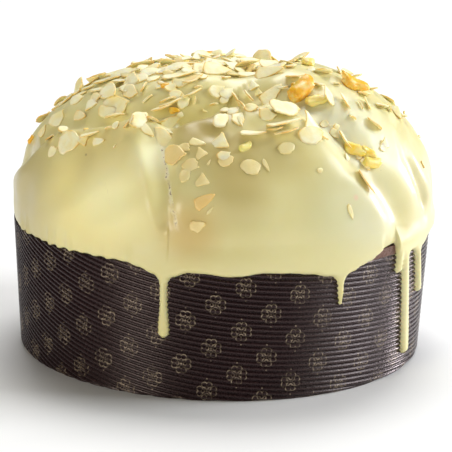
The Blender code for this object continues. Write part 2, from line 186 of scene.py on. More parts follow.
even_fall = times(w, times(w, source["Starts"], source["Pitch"]), place["X"])
sway_one = times(w, maths(w, "SINE", sway), RIDGE_SWAY[0])
sway_two = times(w, maths(w, "SINE", times(w, sway, 2.0)), RIDGE_SWAY[1] / 2)
both = times(w, plus(w, sway_one, sway_two), source["Rim radius"])
fall = plus(w, even_fall, both)
free = minus(w, minus(w, times(w, row, step), fall), FIRST_ROW)
rim = plus(w, source["Height"], times(w, source["Lean"], maths(w, "SINE", turn)))
over = minus(w, free, rim)
past_rim = maths(w, "GREATER_THAN", over, RIM_FOLD)
past_foot = maths(w, "LESS_THAN", free, -RIM_FOLD)
inside = maths(w, "MAXIMUM", past_rim, past_foot)
back_down = maths(w, "GREATER_THAN", over, 2 * RIM_FOLD)
at_foot = maths(w, "MAXIMUM", back_down, maths(w, "LESS_THAN", free, 0.0))
level = maths(w, "MINIMUM", maths(w, "MAXIMUM", free, 0.0), rim)
height = times(w, level, minus(w, 1.0, at_foot))
phase = times(w, maths(w, "DIVIDE", plus(w, height, fall), source["Pitch"]), math.pi)
arch = maths(w, "POWER", maths(w, "ABSOLUTE", maths(w, "SINE", phase)), RIDGE_SHAPE)
from_strip = maths(w, "COSINE", minus(w, turn, STRIP_TURN))
bare_now = maths(w, "MAXIMUM", minus(w, times(w, from_strip, STRIP_FADE[0]), STRIP_FADE[1]), 0.0)
bare_now = times(w, source["Strip"], maths(w, "MINIMUM", bare_now, 1.0))
bare = maths(w, "GREATER_THAN", height, minus(w, rim, bare_now))
ridge = times(w, minus(w, arch, 0.5), source["Depth"])
ridge = times(w, ridge, minus(w, 1.0, bare))
lap = ranged(w, place["X"], LAP_START, LAP_START + LAP_RISE, 0.0, LAP)
lap = times(w, lap, maths(w, "LESS_THAN", place["X"], LAP_END))
taper = maths(w, "DIVIDE", minus(w, source["Rim radius"], source["Base radius"]), source["Height"])
side = plus(w, source["Base radius"], times(w, height, taper))
foot_round = ranged(w, height, 0.0, FOOT_ROUND, 1.0, 0.0)
foot_round = times(w, maths(w, "POWER", foot_round, 2.0), FOOT_DRAW_IN)
outer = minus(w, plus(w, plus(w, side, ridge), lap), foot_round)
inner = minus(w, side, source["Paper"])
radius = put(w, "ShaderNodeMix", (inside, outer, inner), data_type="FLOAT").outputs[0]
across = times(w, radius, maths(w, "SINE", turn))
ahead = times(w, radius, times(w, maths(w, "COSINE", turn), -1.0))
spot = put(w, "ShaderNodeCombineXYZ", (across, ahead, height)).outputs[0]
marked = put(w, "GeometryNodeStoreNamedAttribute", (out_of(grid), None, "crest", None),
             data_type="FLOAT", domain="POINT")
crest_now = times(w, arch, minus(w, 1.0, bare))
w.links.new(plus(w, crest_now, times(w, bare, 2.0)),
            next(s for s in marked.inputs if s.enabled and s.name == "Value"))
placed = put(w, "GeometryNodeSetPosition", (out_of(marked), None, spot))
joined = put(w, "GeometryNodeMergeByDistance", (out_of(placed), None, SAME_SPOT))
smooth = put(w, "GeometryNodeSetShadeSmooth", (out_of(joined), None, True))
realized = put(w, "GeometryNodeRealizeInstances", (out_of(smooth),))
finish_wall = put(w, "GeometryNodeSetMaterial", (out_of(realized),))
w.links.new(out_of(finish_wall), put(w, "NodeGroupOutput").inputs[0])


def new_material(name):
    """A material, its node tree, its shader and the place on the object that a pattern reads."""
    surface = bpy.data.materials.new(name)
    surface.use_nodes = True
    tree = surface.node_tree
    return surface, tree, tree.nodes["Principled BSDF"], put(tree, "ShaderNodeTexCoord").outputs["Object"]


def set_values(shader, values):
    for label, value in values.items():
        shader.inputs[label].default_value = value


def kept_value(tree, name):
    return put(tree, "ShaderNodeAttribute", attribute_name=name).outputs["Fac"]


def noise_of(tree, where, scale, detail, roughness):
    return put(tree, "ShaderNodeTexNoise", (where, scale, detail, roughness)).outputs["Fac"]


def ramp_of(tree, amount, *stops):
    """A colour ramp: each stop is a place and a colour."""
    node = tree.nodes.new("ShaderNodeValToRGB")
    tree.links.new(amount, node.inputs[0])
    spots = node.color_ramp.elements
    while len(spots) < len(stops):
        spots.new(0.5)
    for spot, (place, colour) in zip(spots, stops):
        spot.position = place
        spot.color = (*colour, 1.0)
    return node.outputs[0]


def mix_colour(tree, amount, one, other):
    colours = [(*value, 1.0) if isinstance(value, tuple) else value for value in (one, other)]
    return out_of(put(tree, "ShaderNodeMix", (amount, *colours), data_type="RGBA"))


def bumped(tree, shader, height, distance, strength):
    node = tree.nodes.new("ShaderNodeBump")
    set_values(node, {"Strength": strength, "Distance": distance})
    tree.links.new(height, node.inputs["Height"])
    tree.links.new(node.outputs[0], shader.inputs["Normal"])


# The print on the case. A lattice of small quatrefoils in dull gold ink on the flat strip, rubbed
# off in part when the ridges were pressed. The ink is drawn full on the crests and faint in the
# grooves, which is painted highlight and painted shade. Its first flower and the two steps from
# flower to flower are (along, up) in millimetres on the flat strip, from the front at the foot.
PRINT_ORIGIN = (38.4, 52.3)
PRINT_STEP_ONE = (-14.02, -8.46)
PRINT_STEP_TWO = (12.37, -13.32)
PETAL_REACH = 3.30
LOBE_ASIDE = 1.12
LOBE_RADIUS = 1.35
STEM_REACH = 1.85
STEM_RADIUS = 0.80
PETAL_LINE = 0.34
HEART_LINE = 0.84
DOT_PLACE = 6.40
DOT_LINE = 0.60
paper, t, skin, spot = new_material("case_paper")
xyz = put(t, "ShaderNodeSeparateXYZ", (spot,)).outputs
turn = maths(t, "ARCTAN2", xyz["X"], times(t, xyz["Y"], -1.0))
lean = (RIM_RADIUS - BASE_RADIUS) / CASE_HEIGHT
reach = plus(t, times(t, xyz["Z"], 1000.0), BASE_RADIUS * 1000 / lean)
swing = times(t, turn, lean)
along = minus(t, times(t, reach, maths(t, "SINE", swing)), PRINT_ORIGIN[0])
up = minus(t, times(t, reach, maths(t, "COSINE", swing)),
           BASE_RADIUS * 1000 / lean + PRINT_ORIGIN[1])
area = PRINT_STEP_ONE[0] * PRINT_STEP_TWO[1] - PRINT_STEP_ONE[1] * PRINT_STEP_TWO[0]
count_one = minus(t, times(t, along, PRINT_STEP_TWO[1] / area),
                  times(t, up, PRINT_STEP_TWO[0] / area))
count_two = minus(t, times(t, up, PRINT_STEP_ONE[0] / area),
                  times(t, along, PRINT_STEP_ONE[1] / area))
left_one = minus(t, count_one, maths(t, "ROUND", count_one))
left_two = minus(t, count_two, maths(t, "ROUND", count_two))
side = plus(t, times(t, left_one, PRINT_STEP_ONE[0]),
             times(t, left_two, PRINT_STEP_TWO[0]))
rise = plus(t, times(t, left_one, PRINT_STEP_ONE[1]),
             times(t, left_two, PRINT_STEP_TWO[1]))
side = maths(t, "ABSOLUTE", side)
rise = maths(t, "ABSOLUTE", rise)
short = maths(t, "MINIMUM", side, rise)
long = maths(t, "MAXIMUM", side, rise)


def length_of(tree, one, other):
    return maths(tree, "SQRT", plus(tree, maths(tree, "POWER", one, 2.0), maths(tree, "POWER", other, 2.0)))


def line_at(tree, distance, where, half_width):
    """1 on a line that runs where the distance has this value, 0 away from it."""
    off = maths(tree, "ABSOLUTE", minus(tree, distance, where))
    return ranged(tree, off, half_width, half_width + 0.14, 1.0, 0.0)


lobe = minus(t, length_of(t, minus(t, short, LOBE_ASIDE), minus(t, long, PETAL_REACH)),
             LOBE_RADIUS)
stem = minus(t, length_of(t, short, minus(t, long, STEM_REACH)), STEM_RADIUS)
petal = maths(t, "MINIMUM", lobe, stem)
middle = length_of(t, short, long)
dot = length_of(t, side, minus(t, rise, DOT_PLACE))
drawn = line_at(t, petal, 0.0, PETAL_LINE / 2)
drawn = maths(t, "MAXIMUM", drawn, line_at(t, middle, 0.0, HEART_LINE / 2))
drawn = maths(t, "MAXIMUM", drawn, line_at(t, dot, 0.0, DOT_LINE / 2))
crest = kept_value(t, "crest")
# Painted highlight and painted shade on the ridges: 1 on the crests, 0.2 in the grooves.
painted_crest_light = ranged(t, crest, 0.25, 0.9, 0.20, 1.0)
is_strip = maths(t, "GREATER_THAN", crest, 1.5)
worn = ranged(t, noise_of(t, spot, 420.0, 4.0, 0.7), 0.40, 0.58, 0.25, 1.0)
ink = times(t, times(t, drawn, painted_crest_light), worn)
ink = times(t, ink, minus(t, 1.0, is_strip))
fibre = noise_of(t, spot, 900.0, 5.0, 0.7)
patch = noise_of(t, spot, 18.0, 3.0, 0.5)
brown = ramp_of(t, patch, (0.3, (0.0040, 0.0010, 0.0016)), (0.75, (0.0090, 0.0026, 0.0036)))
# The crests are painted a lighter brown: painted highlight.
brown = mix_colour(t, times(t, times(t, painted_crest_light, fibre), 0.5), brown, (0.060, 0.030, 0.029))
liner = ramp_of(t, fibre, (0.3, (0.110, 0.052, 0.036)), (0.8, (0.190, 0.095, 0.066)))
brown = mix_colour(t, is_strip, brown, liner)
gold = ramp_of(t, fibre, (0.25, (0.240, 0.185, 0.120)), (0.8, (0.440, 0.365, 0.270)))
t.links.new(mix_colour(t, times(t, ink, 0.85), brown, gold), skin.inputs["Base Color"])
rough = ranged(t, fibre, 0.3, 0.7, 0.21, 0.34)
t.links.new(rough, skin.inputs["Roughness"])
set_values(skin, {"Specular IOR Level": 0.42, "Specular Tint": (1.0, 0.84, 0.84, 1.0)})
bumped(t, skin, fibre, 0.0002, 0.25)

finish_wall.inputs["Material"].default_value = paper
case_wall = grown("paper_wall", w, wall_sizes)
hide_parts("case_wall")
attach(case_wall, "root")


# The foot of the case. A disc of the same board, glued inside the wall with its
# dull side down and pressed with a shallow ring.
DISC_THICKNESS = 0.0010
DISC_GAP = 0.00025
DISC_EDGE = 0.0003
DISC_SIDES = 180
board, t, skin, spot = new_material("base_board")
fibre = noise_of(t, spot, 700.0, 5.0, 0.7)
brown = ramp_of(t, fibre, (0.3, (0.020, 0.012, 0.011)), (0.8, (0.045, 0.028, 0.023)))
t.links.new(brown, skin.inputs["Base Color"])
t.links.new(ranged(t, fibre, 0.3, 0.7, 0.55, 0.75), skin.inputs["Roughness"])
bumped(t, skin, fibre, 0.0002, 0.5)


def as_mesh(net, name):
    mesh = bpy.data.meshes.new(name)
    net.to_mesh(mesh)
    net.free()
    return mesh


def lathe(name, profile, sides):
    """Turns a profile of (radius, height) points round the case's axis."""
    net = bmesh.new()
    rings = []
    for radius, level in profile:
        if radius < 1e-6:
            rings.append([net.verts.new((0.0, 0.0, level))])
            continue
        turns = [2 * math.pi * k / sides for k in range(sides)]
        rings.append([net.verts.new((radius * math.sin(a), -radius * math.cos(a), level)) for a in turns])
    for low, high in zip(rings, rings[1:]):
        for k in range(sides):
            n = (k + 1) % sides
            if len(low) == 1:
                net.faces.new((low[0], high[k], high[n]))
            elif len(high) == 1:
                net.faces.new((low[k], low[n], high[0]))
            else:
                net.faces.new((low[k], low[n], high[n], high[k]))
    bmesh.ops.recalc_face_normals(net, faces=net.faces)
    return set_out(name, as_mesh(net, name))


disc_radius = BASE_RADIUS - PAPER - DISC_GAP
ring_radius = disc_radius * 0.9
case_base = lathe("paper_foot", (
    (0.0, 0.0), (ring_radius - 0.002, 0.0), (ring_radius - 0.001, 0.0004), (ring_radius + 0.001, 0.0004),
    (ring_radius + 0.002, 0.0), (disc_radius - DISC_EDGE, 0.0), (disc_radius, DISC_EDGE),
    (disc_radius, DISC_THICKNESS - DISC_EDGE), (disc_radius - DISC_EDGE, DISC_THICKNESS),
    (0.0, DISC_THICKNESS),
), DISC_SIDES)
case_base.data.materials.append(board)
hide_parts("case_base")
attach(case_base, "root")


# The loaf itself, a sweet yeast dough baked in its case. It shows nowhere under the glaze, so
# the model's own solid stays, with a browned crust.
crust, t, skin, spot = new_material("crust")
mottle = noise_of(t, spot, 60.0, 5.0, 0.6)
brown = ramp_of(t, mottle, (0.3, (0.20, 0.085, 0.030)), (0.7, (0.47, 0.24, 0.095)))
t.links.new(brown, skin.inputs["Base Color"])
t.links.new(ranged(t, mottle, 0.3, 0.7, 0.6, 0.85), skin.inputs["Roughness"])
bumped(t, skin, mottle, 0.0008, 0.6)
for thing in bpy.data.objects:
    if thing.name == "cake":
        thing.data.materials.clear()
        thing.data.materials.append(crust)


# The glaze. A thick pale yellow coating poured over the warm loaf, so that it rounds
# the four lobes of the opened cross cut, folds over the rim and runs down the case.
DOME_RADIUS = 0.1072
DOME_WAIST = 0.0790
DOME_TOP = 0.1462
SQUARENESS = 2.3
BROAD_RIPPLE = 0.0006
FINE_RIPPLE = 0.00045
CHART = 0.140
# Each crease is a path of (x, y, height) in mm, where height 0 means on the dome above (x, y),
# and its depth and widths at its start and end, and the height of the lip on either side.
CREASES = (
    dict(path=((-16, -66, 0), (-26, -76, 0), (-29, -84, 0), (-26, -99, 105), (-25, -103, 89)),
         depth=(0.0058, 0.0012), left=(0.0050, 0.0040), right=(0.0088, 0.0056), lip=(0.0, 0.0050)),
    dict(path=((-16, -66, 0), (-36, -63, 0), (-52, -60, 0), (-66, -51, 0), (-78, -40, 0), (-89, -29, 105),
               (-99, -12, 97), (-104, 3, 90)),
         depth=(0.0128, 0.0022), left=(0.0075, 0.0095), right=(0.0120, 0.0100), lip=(0.0040, 0.0)),
    dict(path=((-4, -58, 0), (17, -54, 0), (36, -57, 0), (52, -64, 0), (65, -72, 0), (81, -68, 93),
               (88, -62, 74)),
         depth=(0.0085, 0.0026), left=(0.0100, 0.0115), right=(0.0080, 0.0108), lip=(0.0, 0.0020)),
    dict(path=((-3, -56, 0), (9, -38, 0), (15, -10, 0), (24, 25, 0), (38, 66, 0), (46, 96, 95)),
         depth=(0.0070, 0.0030), left=(0.0100, 0.0110), right=(0.0100, 0.0110), lip=(0.0, 0.0)),
    dict(path=((84, -26, 0), (85, -34, 120), (87, -42, 115), (90, -46, 108), (95, -45, 98), (100, -39, 85)),
         depth=(0.0006, 0.0020), left=(0.0040, 0.0045), right=(0.0045, 0.0050), lip=(0.0004, 0.0005)),
)
# Soft swellings and hollows of the lobes: turn, way from the top, rise and reach.
SWELLS = (
    (-12, 0.38, -0.0070, 0.019), (-20, 0.10, -0.0012, 0.030), (-180, 0.22, -0.0015, 0.034),
    (-150, 0.22, -0.0010, 0.034), (-120, 0.22, -0.0005, 0.034), (-60, 0.22, 0.0007, 0.034),
    (-30, 0.22, 0.0006, 0.034), (0, 0.22, 0.0006, 0.034), (30, 0.22, 0.0016, 0.034),
    (60, 0.22, 0.0027, 0.034), (90, 0.22, 0.0015, 0.034), (120, 0.22, -0.0009, 0.034),
    (150, 0.22, -0.0011, 0.034), (-180, 0.45, 0.0009, 0.034), (-150, 0.45, -0.0007, 0.034),
    (-120, 0.45, -0.0023, 0.034), (-90, 0.45, -0.0023, 0.034), (30, 0.45, 0.0005, 0.034),
    (60, 0.45, 0.0020, 0.034), (90, 0.45, 0.0005, 0.034), (120, 0.45, -0.0030, 0.034),
    (150, 0.45, 0.0014, 0.034), (-120, 0.68, 0.0009, 0.034), (-90, 0.68, -0.0043, 0.034),
    (90, 0.68, -0.0009, 0.034), (120, 0.68, -0.0016, 0.034), (-120, 0.90, -0.0017, 0.034),
    (-90, 0.90, -0.0014, 0.034),
)
# The lower edge of the glaze: turn and height in mm.
EDGE = (
    (-180, 64), (-165, 62), (-150, 63.5), (-138, 62), (-125, 64.5), (-105, 65.6), (-90, 66), (-76, 66),
    (-60, 66.2), (-45, 66.4), (-30, 66.8), (-25, 66.2), (-21, 64.6), (-17.5, 62), (-14.5, 61),
    (-12, 61.5), (-8, 64), (-4, 63.7), (2, 62.6), (5, 62.8), (11, 64.3), (18, 63.6), (24, 62.3),
    (28.5, 60.4), (32.7, 59), (36.5, 61), (39, 63), (42, 64.3), (45, 66.8), (47, 68.8), (50, 69.8),
    (52.4, 70.2), (53.6, 66), (57, 63), (62, 63), (68, 62), (72, 65), (76, 66), (88, 65), (102, 63.5),
    (112, 62.5), (120, 63), (135, 65), (150, 62), (165, 64.5), (180, 64),
)
# Each drip: turn and height in mm where it starts, turn and height of the middle of its round
# end, and the width of its neck and of that end.
DRIPS = (
    (-14.6, 61, -14.6, 33.6, 0.0040, 0.0056),
    (32.7, 58, 33.0, 46.0, 0.0030, 0.0014),
    (57.3, 66, 62.6, 12.0, 0.0054, 0.0068),
    (64.8, 66, 69.5, 40.0, 0.0046, 0.0050),
    (54.6, 67, 54.6, 56.0, 0.0040, 0.0044),
    (110.5, 63, 111.5, 36.5, 0.0044, 0.0056),
    (-138.0, 62, -137.0, 42.5, 0.0042, 0.0054),
)
GLAZE_THICKNESS = 0.0022
SUNK = 0.0006
THIN_AT_RIM = 0.0004
EDGE_ROUND = 0.0024
HEM = 0.0006
FLOW_TOGETHER = 0.0045
DRIP_SPREAD = 0.0005
WHOLE_ABOVE = 0.0712
LOWEST_ROW = 0.004
DOME_ROWS = 88
SKIRT_STEP = 0.0007
SIDES = 400
CLOSE_STEP = 0.24
CLOSE_REACH = 2.6


def at(turn, radius, level):
    angle = np.radians(turn)
    return np.stack([radius * np.sin(angle), -radius * np.cos(angle), level + 0 * angle], -1)


def chart(turn, way):
    angle = np.radians(turn)
    return np.stack([way * np.sin(angle), -way * np.cos(angle)], -1)


def plain_dome(turn, way):
    """A point of the plain dome and its outward direction."""
    tip = way * math.pi / 2
    sine = np.maximum(np.sin(tip), 1e-9)
    cosine = np.maximum(np.cos(tip), 0.0)
    power = 2.0 / SQUARENESS
    point = at(turn, DOME_RADIUS * sine ** power, DOME_WAIST + (DOME_TOP - DOME_WAIST) * cosine ** power)
    normal = at(turn, sine ** (2 - power) / DOME_RADIUS, cosine ** (2 - power) / (DOME_TOP - DOME_WAIST))
    return point, normal / np.linalg.norm(normal, axis=-1, keepdims=True)


def charted(x, y, level):
    """Where a point of a crease's path, in mm, lies on the chart of the dome."""
    turn = math.degrees(math.atan2(x, -y))
    if level:
        share = (level * 0.001 - DOME_WAIST) / (DOME_TOP - DOME_WAIST)
        if share < 0:
            return chart(turn, 1.0 - share)
        return chart(turn, math.acos(share ** (SQUARENESS / 2)) * 2 / math.pi)
    radius = min(math.hypot(x, y) * 0.001 / DOME_RADIUS, 1.0)
    return chart(turn, math.asin(radius ** (SQUARENESS / 2)) * 2 / math.pi)


def along_line(place, line):
    """Distance from a crease, the side of it and how far along it, for many places at once."""
    best = np.full(place.shape[:-1], 9.0)
    side = np.ones_like(best)
    way = np.zeros_like(best)
    for index in range(len(line) - 1):
        step = line[index + 1] - line[index]
        gone = place - line[index]
        share = np.clip((gone @ step) / (step @ step), 0.0, 1.0)
        off = gone - share[..., None] * step
        distance = np.linalg.norm(off, axis=-1)
        nearer = distance < best
        best = np.where(nearer, distance, best)
        side = np.where(nearer, np.sign(step[0] * gone[..., 1] - step[1] * gone[..., 0]), side)
        way = np.where(nearer, (index + share) / (len(line) - 1), way)
    return best * CHART, side, way


LINES = [np.array([charted(*point) for point in crease["path"]]) for crease in CREASES]


def ripple(place, scale, seed):
    """A gentle seeded unevenness made of a few crossing waves."""
    pick = np.random.RandomState(seed)
    total = 0.0
    for _ in range(9):
        angle = pick.uniform(0, math.pi)
        wave = pick.uniform(0.7, 1.7) * 2 * math.pi * CHART / scale
        shift = pick.uniform(0, 2 * math.pi)
        across = place[..., 0] * math.cos(angle) + place[..., 1] * math.sin(angle)
        total = total + np.sin(wave * across + shift)
    return total / 4.0


def rise_at(place):
    """How far the lobes, lips and creases stand over the plain dome."""
    down = np.linalg.norm(place, axis=-1)
    fade = 1.0 - soft_step(0.93, 1.06, down)
    total = np.zeros_like(down)
    for crease, line in zip(CREASES, LINES):
        distance, side, way = along_line(place, line)
        depth = crease["depth"][0] + (crease["depth"][1] - crease["depth"][0]) * way
        left = crease["left"][0] + (crease["left"][1] - crease["left"][0]) * way
        right = crease["right"][0] + (crease["right"][1] - crease["right"][0]) * way
        width = np.where(side > 0, left, right)
        total = total - depth * np.exp(-(distance / width) ** 2) * (0.35 + 0.65 * fade)
        lip = np.where(side > 0, crease["lip"][0], crease["lip"][1])
        off = distance - 1.45 * width
        reach = off / (width * np.where(off < 0, 0.6, 1.6))
        total = total + lip * np.exp(-np.abs(reach) ** 1.5) * (1.0 - 0.7 * way) * fade
    for turn, way, rise, reach in SWELLS:
        away = np.linalg.norm(place - chart(turn, way), axis=-1) * CHART / reach
        total = total + rise * np.exp(-away * away)
    top = 1.0 - soft_step(0.45, 0.75, down)
    total = total + BROAD_RIPPLE * ripple(place, 0.040, 3) * fade
    return total + FINE_RIPPLE * ripple(place, 0.013, 5) * top


def glaze_point(turn, way):
    point, normal = plain_dome(turn, way)
    return point + normal * rise_at(chart(turn, way))[..., None]


def case_side(level):
    return BASE_RADIUS + (RIM_RADIUS - BASE_RADIUS) * level / CASE_HEIGHT


def rim_at(turn):
    return CASE_HEIGHT + RIM_LEAN * np.sin(np.radians(turn))


# On the left the glaze has filled the folds of the rim, and its edge there is toothed.
TEETH = 42.0
TOOTH_DEPTH = 0.0015
TEETH_BEGIN = (-82, -66)
TEETH_END = (-32, -24)


def edge_at(turn):
    turns = np.array([pair[0] for pair in EDGE], float)
    levels = np.array([pair[1] for pair in EDGE], float) * 0.001
    index = np.clip(np.searchsorted(turns, turn) - 1, 0, len(EDGE) - 2)
    share = soft_step(turns[index], turns[index + 1], turn)
    level = levels[index] + (levels[index + 1] - levels[index]) * share
    toothed = soft_step(*TEETH_BEGIN, turn) * (1.0 - soft_step(*TEETH_END, turn))
    tooth = np.abs(np.sin(np.radians(TEETH * turn + 22.0 * np.sin(np.radians(7.0 * turn)))))
    uneven = 0.3 + 0.7 * np.abs(np.sin(np.radians(9.3 * turn)))
    return level - toothed * TOOTH_DEPTH * uneven * (1.0 - tooth)


def melt(one, other, reach):
    """The larger of two values, rounded where they are alike, as runs of glaze flow together."""
    mix = np.maximum(reach - np.abs(one - other), 0.0) / reach
    return np.maximum(one, other) + mix * mix * reach / 4.0


def groove(turn, level):
    """1 in a groove between two ridges of the case, 0 on a crest."""
    angle = np.radians(turn)
    sway = angle + math.pi / 2
    fall = RIDGE_SWAY[0] * np.sin(sway) + RIDGE_SWAY[1] / 2 * np.sin(2 * sway)
    phase = (level + fall * RIM_RADIUS) / RIDGE_PITCH + RIDGE_STARTS * angle / (2 * math.pi)
    return 1.0 - np.abs(np.sin(math.pi * phase)) ** RIDGE_SHAPE


def cover(turn, level):
    """How far inside the glaze's outline a place on the case's side lies, in metres."""
    inside = (level - edge_at(turn)) * 0.9
    for top_turn, top, tip_turn, tip, neck, bulb in DRIPS:
        arc = np.radians((turn - top_turn + 180) % 360 - 180) * RIM_RADIUS
        run = np.array([math.radians(tip_turn - top_turn) * RIM_RADIUS, (tip - top) * 0.001])
        share = np.clip((arc * run[0] + (level - top * 0.001) * run[1]) / (run @ run), 0.0, 1.0)
        off = np.hypot(arc - share * run[0], level - top * 0.001 - share * run[1])
        half = (neck + (bulb - neck) * soft_step(0.45, 0.95, share)) / 2
        half = half + DRIP_SPREAD * soft_step(0.0024, 0.0042, 2 * half) * (groove(turn, level) - 0.4)
        inside = melt(inside, half - off, FLOW_TOGETHER)
    return inside


def skirt(turn, level, inside):
    """The glaze below the dome's waist: over the rim, then a rounded skin on the case."""
    rim = rim_at(turn)
    waist = glaze_point(turn, np.ones_like(turn))
    waist_radius = np.hypot(waist[..., 0], waist[..., 1])
    over_rim = soft_step(-0.0012, 0.0004, edge_at(turn) - rim) * soft_step(-0.004, 0.0, level - rim + 0.002)
    full = (GLAZE_THICKNESS + SUNK) * (1.0 - over_rim) + THIN_AT_RIM * over_rim
    share = np.clip(inside / EDGE_ROUND, 0.0, 1.0)
    skin = full * np.sqrt(np.maximum(1.0 - (1.0 - share) ** 2, 0.0))
    on_case = case_side(level) + RIDGE_DEPTH / 2 - SUNK + skin
    blend = soft_step(0.0, 1.0, (DOME_WAIST - level) / (DOME_WAIST - rim))
    return at(turn, waist_radius + (on_case - waist_radius) * blend, level)


even = np.arange(SIDES) * 360.0 / SIDES - 180.0
close = [np.arange(min(d[0], d[2]) - CLOSE_REACH, max(d[0], d[2]) + CLOSE_REACH, CLOSE_STEP)
         for d in DRIPS]
close = np.concatenate(close)
close = np.unique(np.round(close / CLOSE_STEP)) * CLOSE_STEP
apart = np.array([turn for turn in even if np.abs(close - turn).min() > CLOSE_STEP * 0.8])
turns = np.sort(np.concatenate([apart, close]))
ways = np.arange(1, DOME_ROWS + 1) / DOME_ROWS
dome_rows = [glaze_point(turns, np.full_like(turns, way)) for way in ways]
levels = np.arange(DOME_WAIST - SKIRT_STEP, LOWEST_ROW, -SKIRT_STEP)
inside = np.array([cover(turns, np.full_like(turns, level)) for level in levels])
whole = levels > WHOLE_ABOVE
inside[whole] = np.maximum(inside[whole], 0.003)
count = len(turns)
turn_grid = np.repeat(turns[None], len(levels), 0)
level_grid = np.repeat(levels[:, None], count, 1)

# Places just outside the outline are drawn in to it, so that the edge is even.
kept = inside > 0
snapped = kept.copy()
new_turn = turn_grid.copy()
new_level = level_grid.copy()
for down, over in ((-1, 0), (1, 0), (0, -1), (0, 1)):
    near_inside = np.roll(inside, (down, over), (0, 1))
    near_turn = np.roll(turn_grid, (down, over), (0, 1))
    near_level = np.roll(level_grid, (down, over), (0, 1))
    gap = np.abs(near_turn - turn_grid)
    usable = (~snapped) & (near_inside > 0) & (gap < 20)
    if down == -1:
        usable[-1] = False
    if down == 1:
        usable[0] = False
    share = inside / np.minimum(inside - near_inside, -1e-9)
    new_turn = np.where(usable, turn_grid + (near_turn - turn_grid) * share, new_turn)
    new_level = np.where(usable, level_grid + (near_level - level_grid) * share, new_level)
    snapped |= usable
depth = np.where(kept, inside, 0.0)
skirt_points = skirt(new_turn.ravel(), new_level.ravel(), depth.ravel()).reshape(len(levels), count, 3)
top_point = glaze_point(np.array([0.0]), np.array([1e-5]))
points = np.concatenate([top_point, np.concatenate(dome_rows), skirt_points.reshape(-1, 3)])
faces = [(0, 1 + k, 1 + (k + 1) % count) for k in range(count)]
for row in range(DOME_ROWS + len(levels) - 1):
    start = 1 + row * count
    for k in range(count):
        n = (k + 1) % count
        corners = (start + k, start + count + k, start + count + n, start + n)
        if row < DOME_ROWS - 1:
            faces.append(corners)
            continue
        lower = row - DOME_ROWS + 1
        cell = [snapped[lower, k], snapped[lower, n]]
        upper = [True, True] if row == DOME_ROWS - 1 else [snapped[lower - 1, k], snapped[lower - 1, n]]
        flags = (upper[0], cell[0], cell[1], upper[1])
        if all(flags):
            faces.append(corners)
        elif sum(flags) == 3:
            faces.append(tuple(c for c, flag in zip(corners, flags) if flag))
net = bmesh.new()
spots = [net.verts.new(point) for point in points]
for face in faces:
    net.faces.new([spots[k] for k in face])
bmesh.ops.delete(net, geom=[v for v in net.verts if not v.link_faces], context="VERTS")
bmesh.ops.remove_doubles(net, verts=net.verts[:], dist=SAME_SPOT)
rim_edges = [edge for edge in net.edges if edge.is_boundary]
hem = bmesh.ops.extrude_edge_only(net, edges=rim_edges)["geom"]
for item in hem:
    if isinstance(item, bmesh.types.BMVert):
        flat = Vector((item.co.x, item.co.y, 0.0))
        item.co -= flat.normalized() * HEM
bmesh.ops.recalc_face_normals(net, faces=net.faces)
for face in net.faces:
    face.smooth = True
glaze_mesh = as_mesh(net, "poured_glaze")
glaze = set_out("poured_glaze", glaze_mesh)

# The loaf has split under the glaze beside the front left lobe: each point near there keeps
# how far it is from the split and how far along it. Along the split the glaze is white, a whitish
# streak with painted highlight, and brown with crumbs.
SPLIT = ((-21, 0.576), (-17.5, 0.642), (-15.8, 0.73), (-14.2, 0.80), (-12.2, 0.90), (-10.8, 0.975))
split_line = np.array([glaze_point(np.array([turn]), np.array([way]))[0] for turn, way in SPLIT])
spots = np.array([vert.co for vert in glaze_mesh.vertices])
off_split = np.full(len(spots), 30.0)
along_split = np.zeros(len(spots))
for index in range(len(SPLIT) - 1):
    step = split_line[index + 1] - split_line[index]
    gone = spots - split_line[index]
    share = np.clip(gone @ step / (step @ step), 0.0, 1.0)
    away = np.linalg.norm(gone - share[:, None] * step, axis=-1) * 1000.0
    side = np.where(step[0] * gone[:, 1] - step[1] * gone[:, 0] > 0, 1.0, -1.0)
    nearer = away < np.abs(off_split)
    off_split = np.where(nearer, away * side, off_split)
    along_split = np.where(nearer, (index + share) / (len(SPLIT) - 1), along_split)
for label, values in (("off_split", off_split), ("along_split", along_split)):
    glaze_mesh.attributes.new(label, "FLOAT", "POINT").data.foreach_set("value", values)

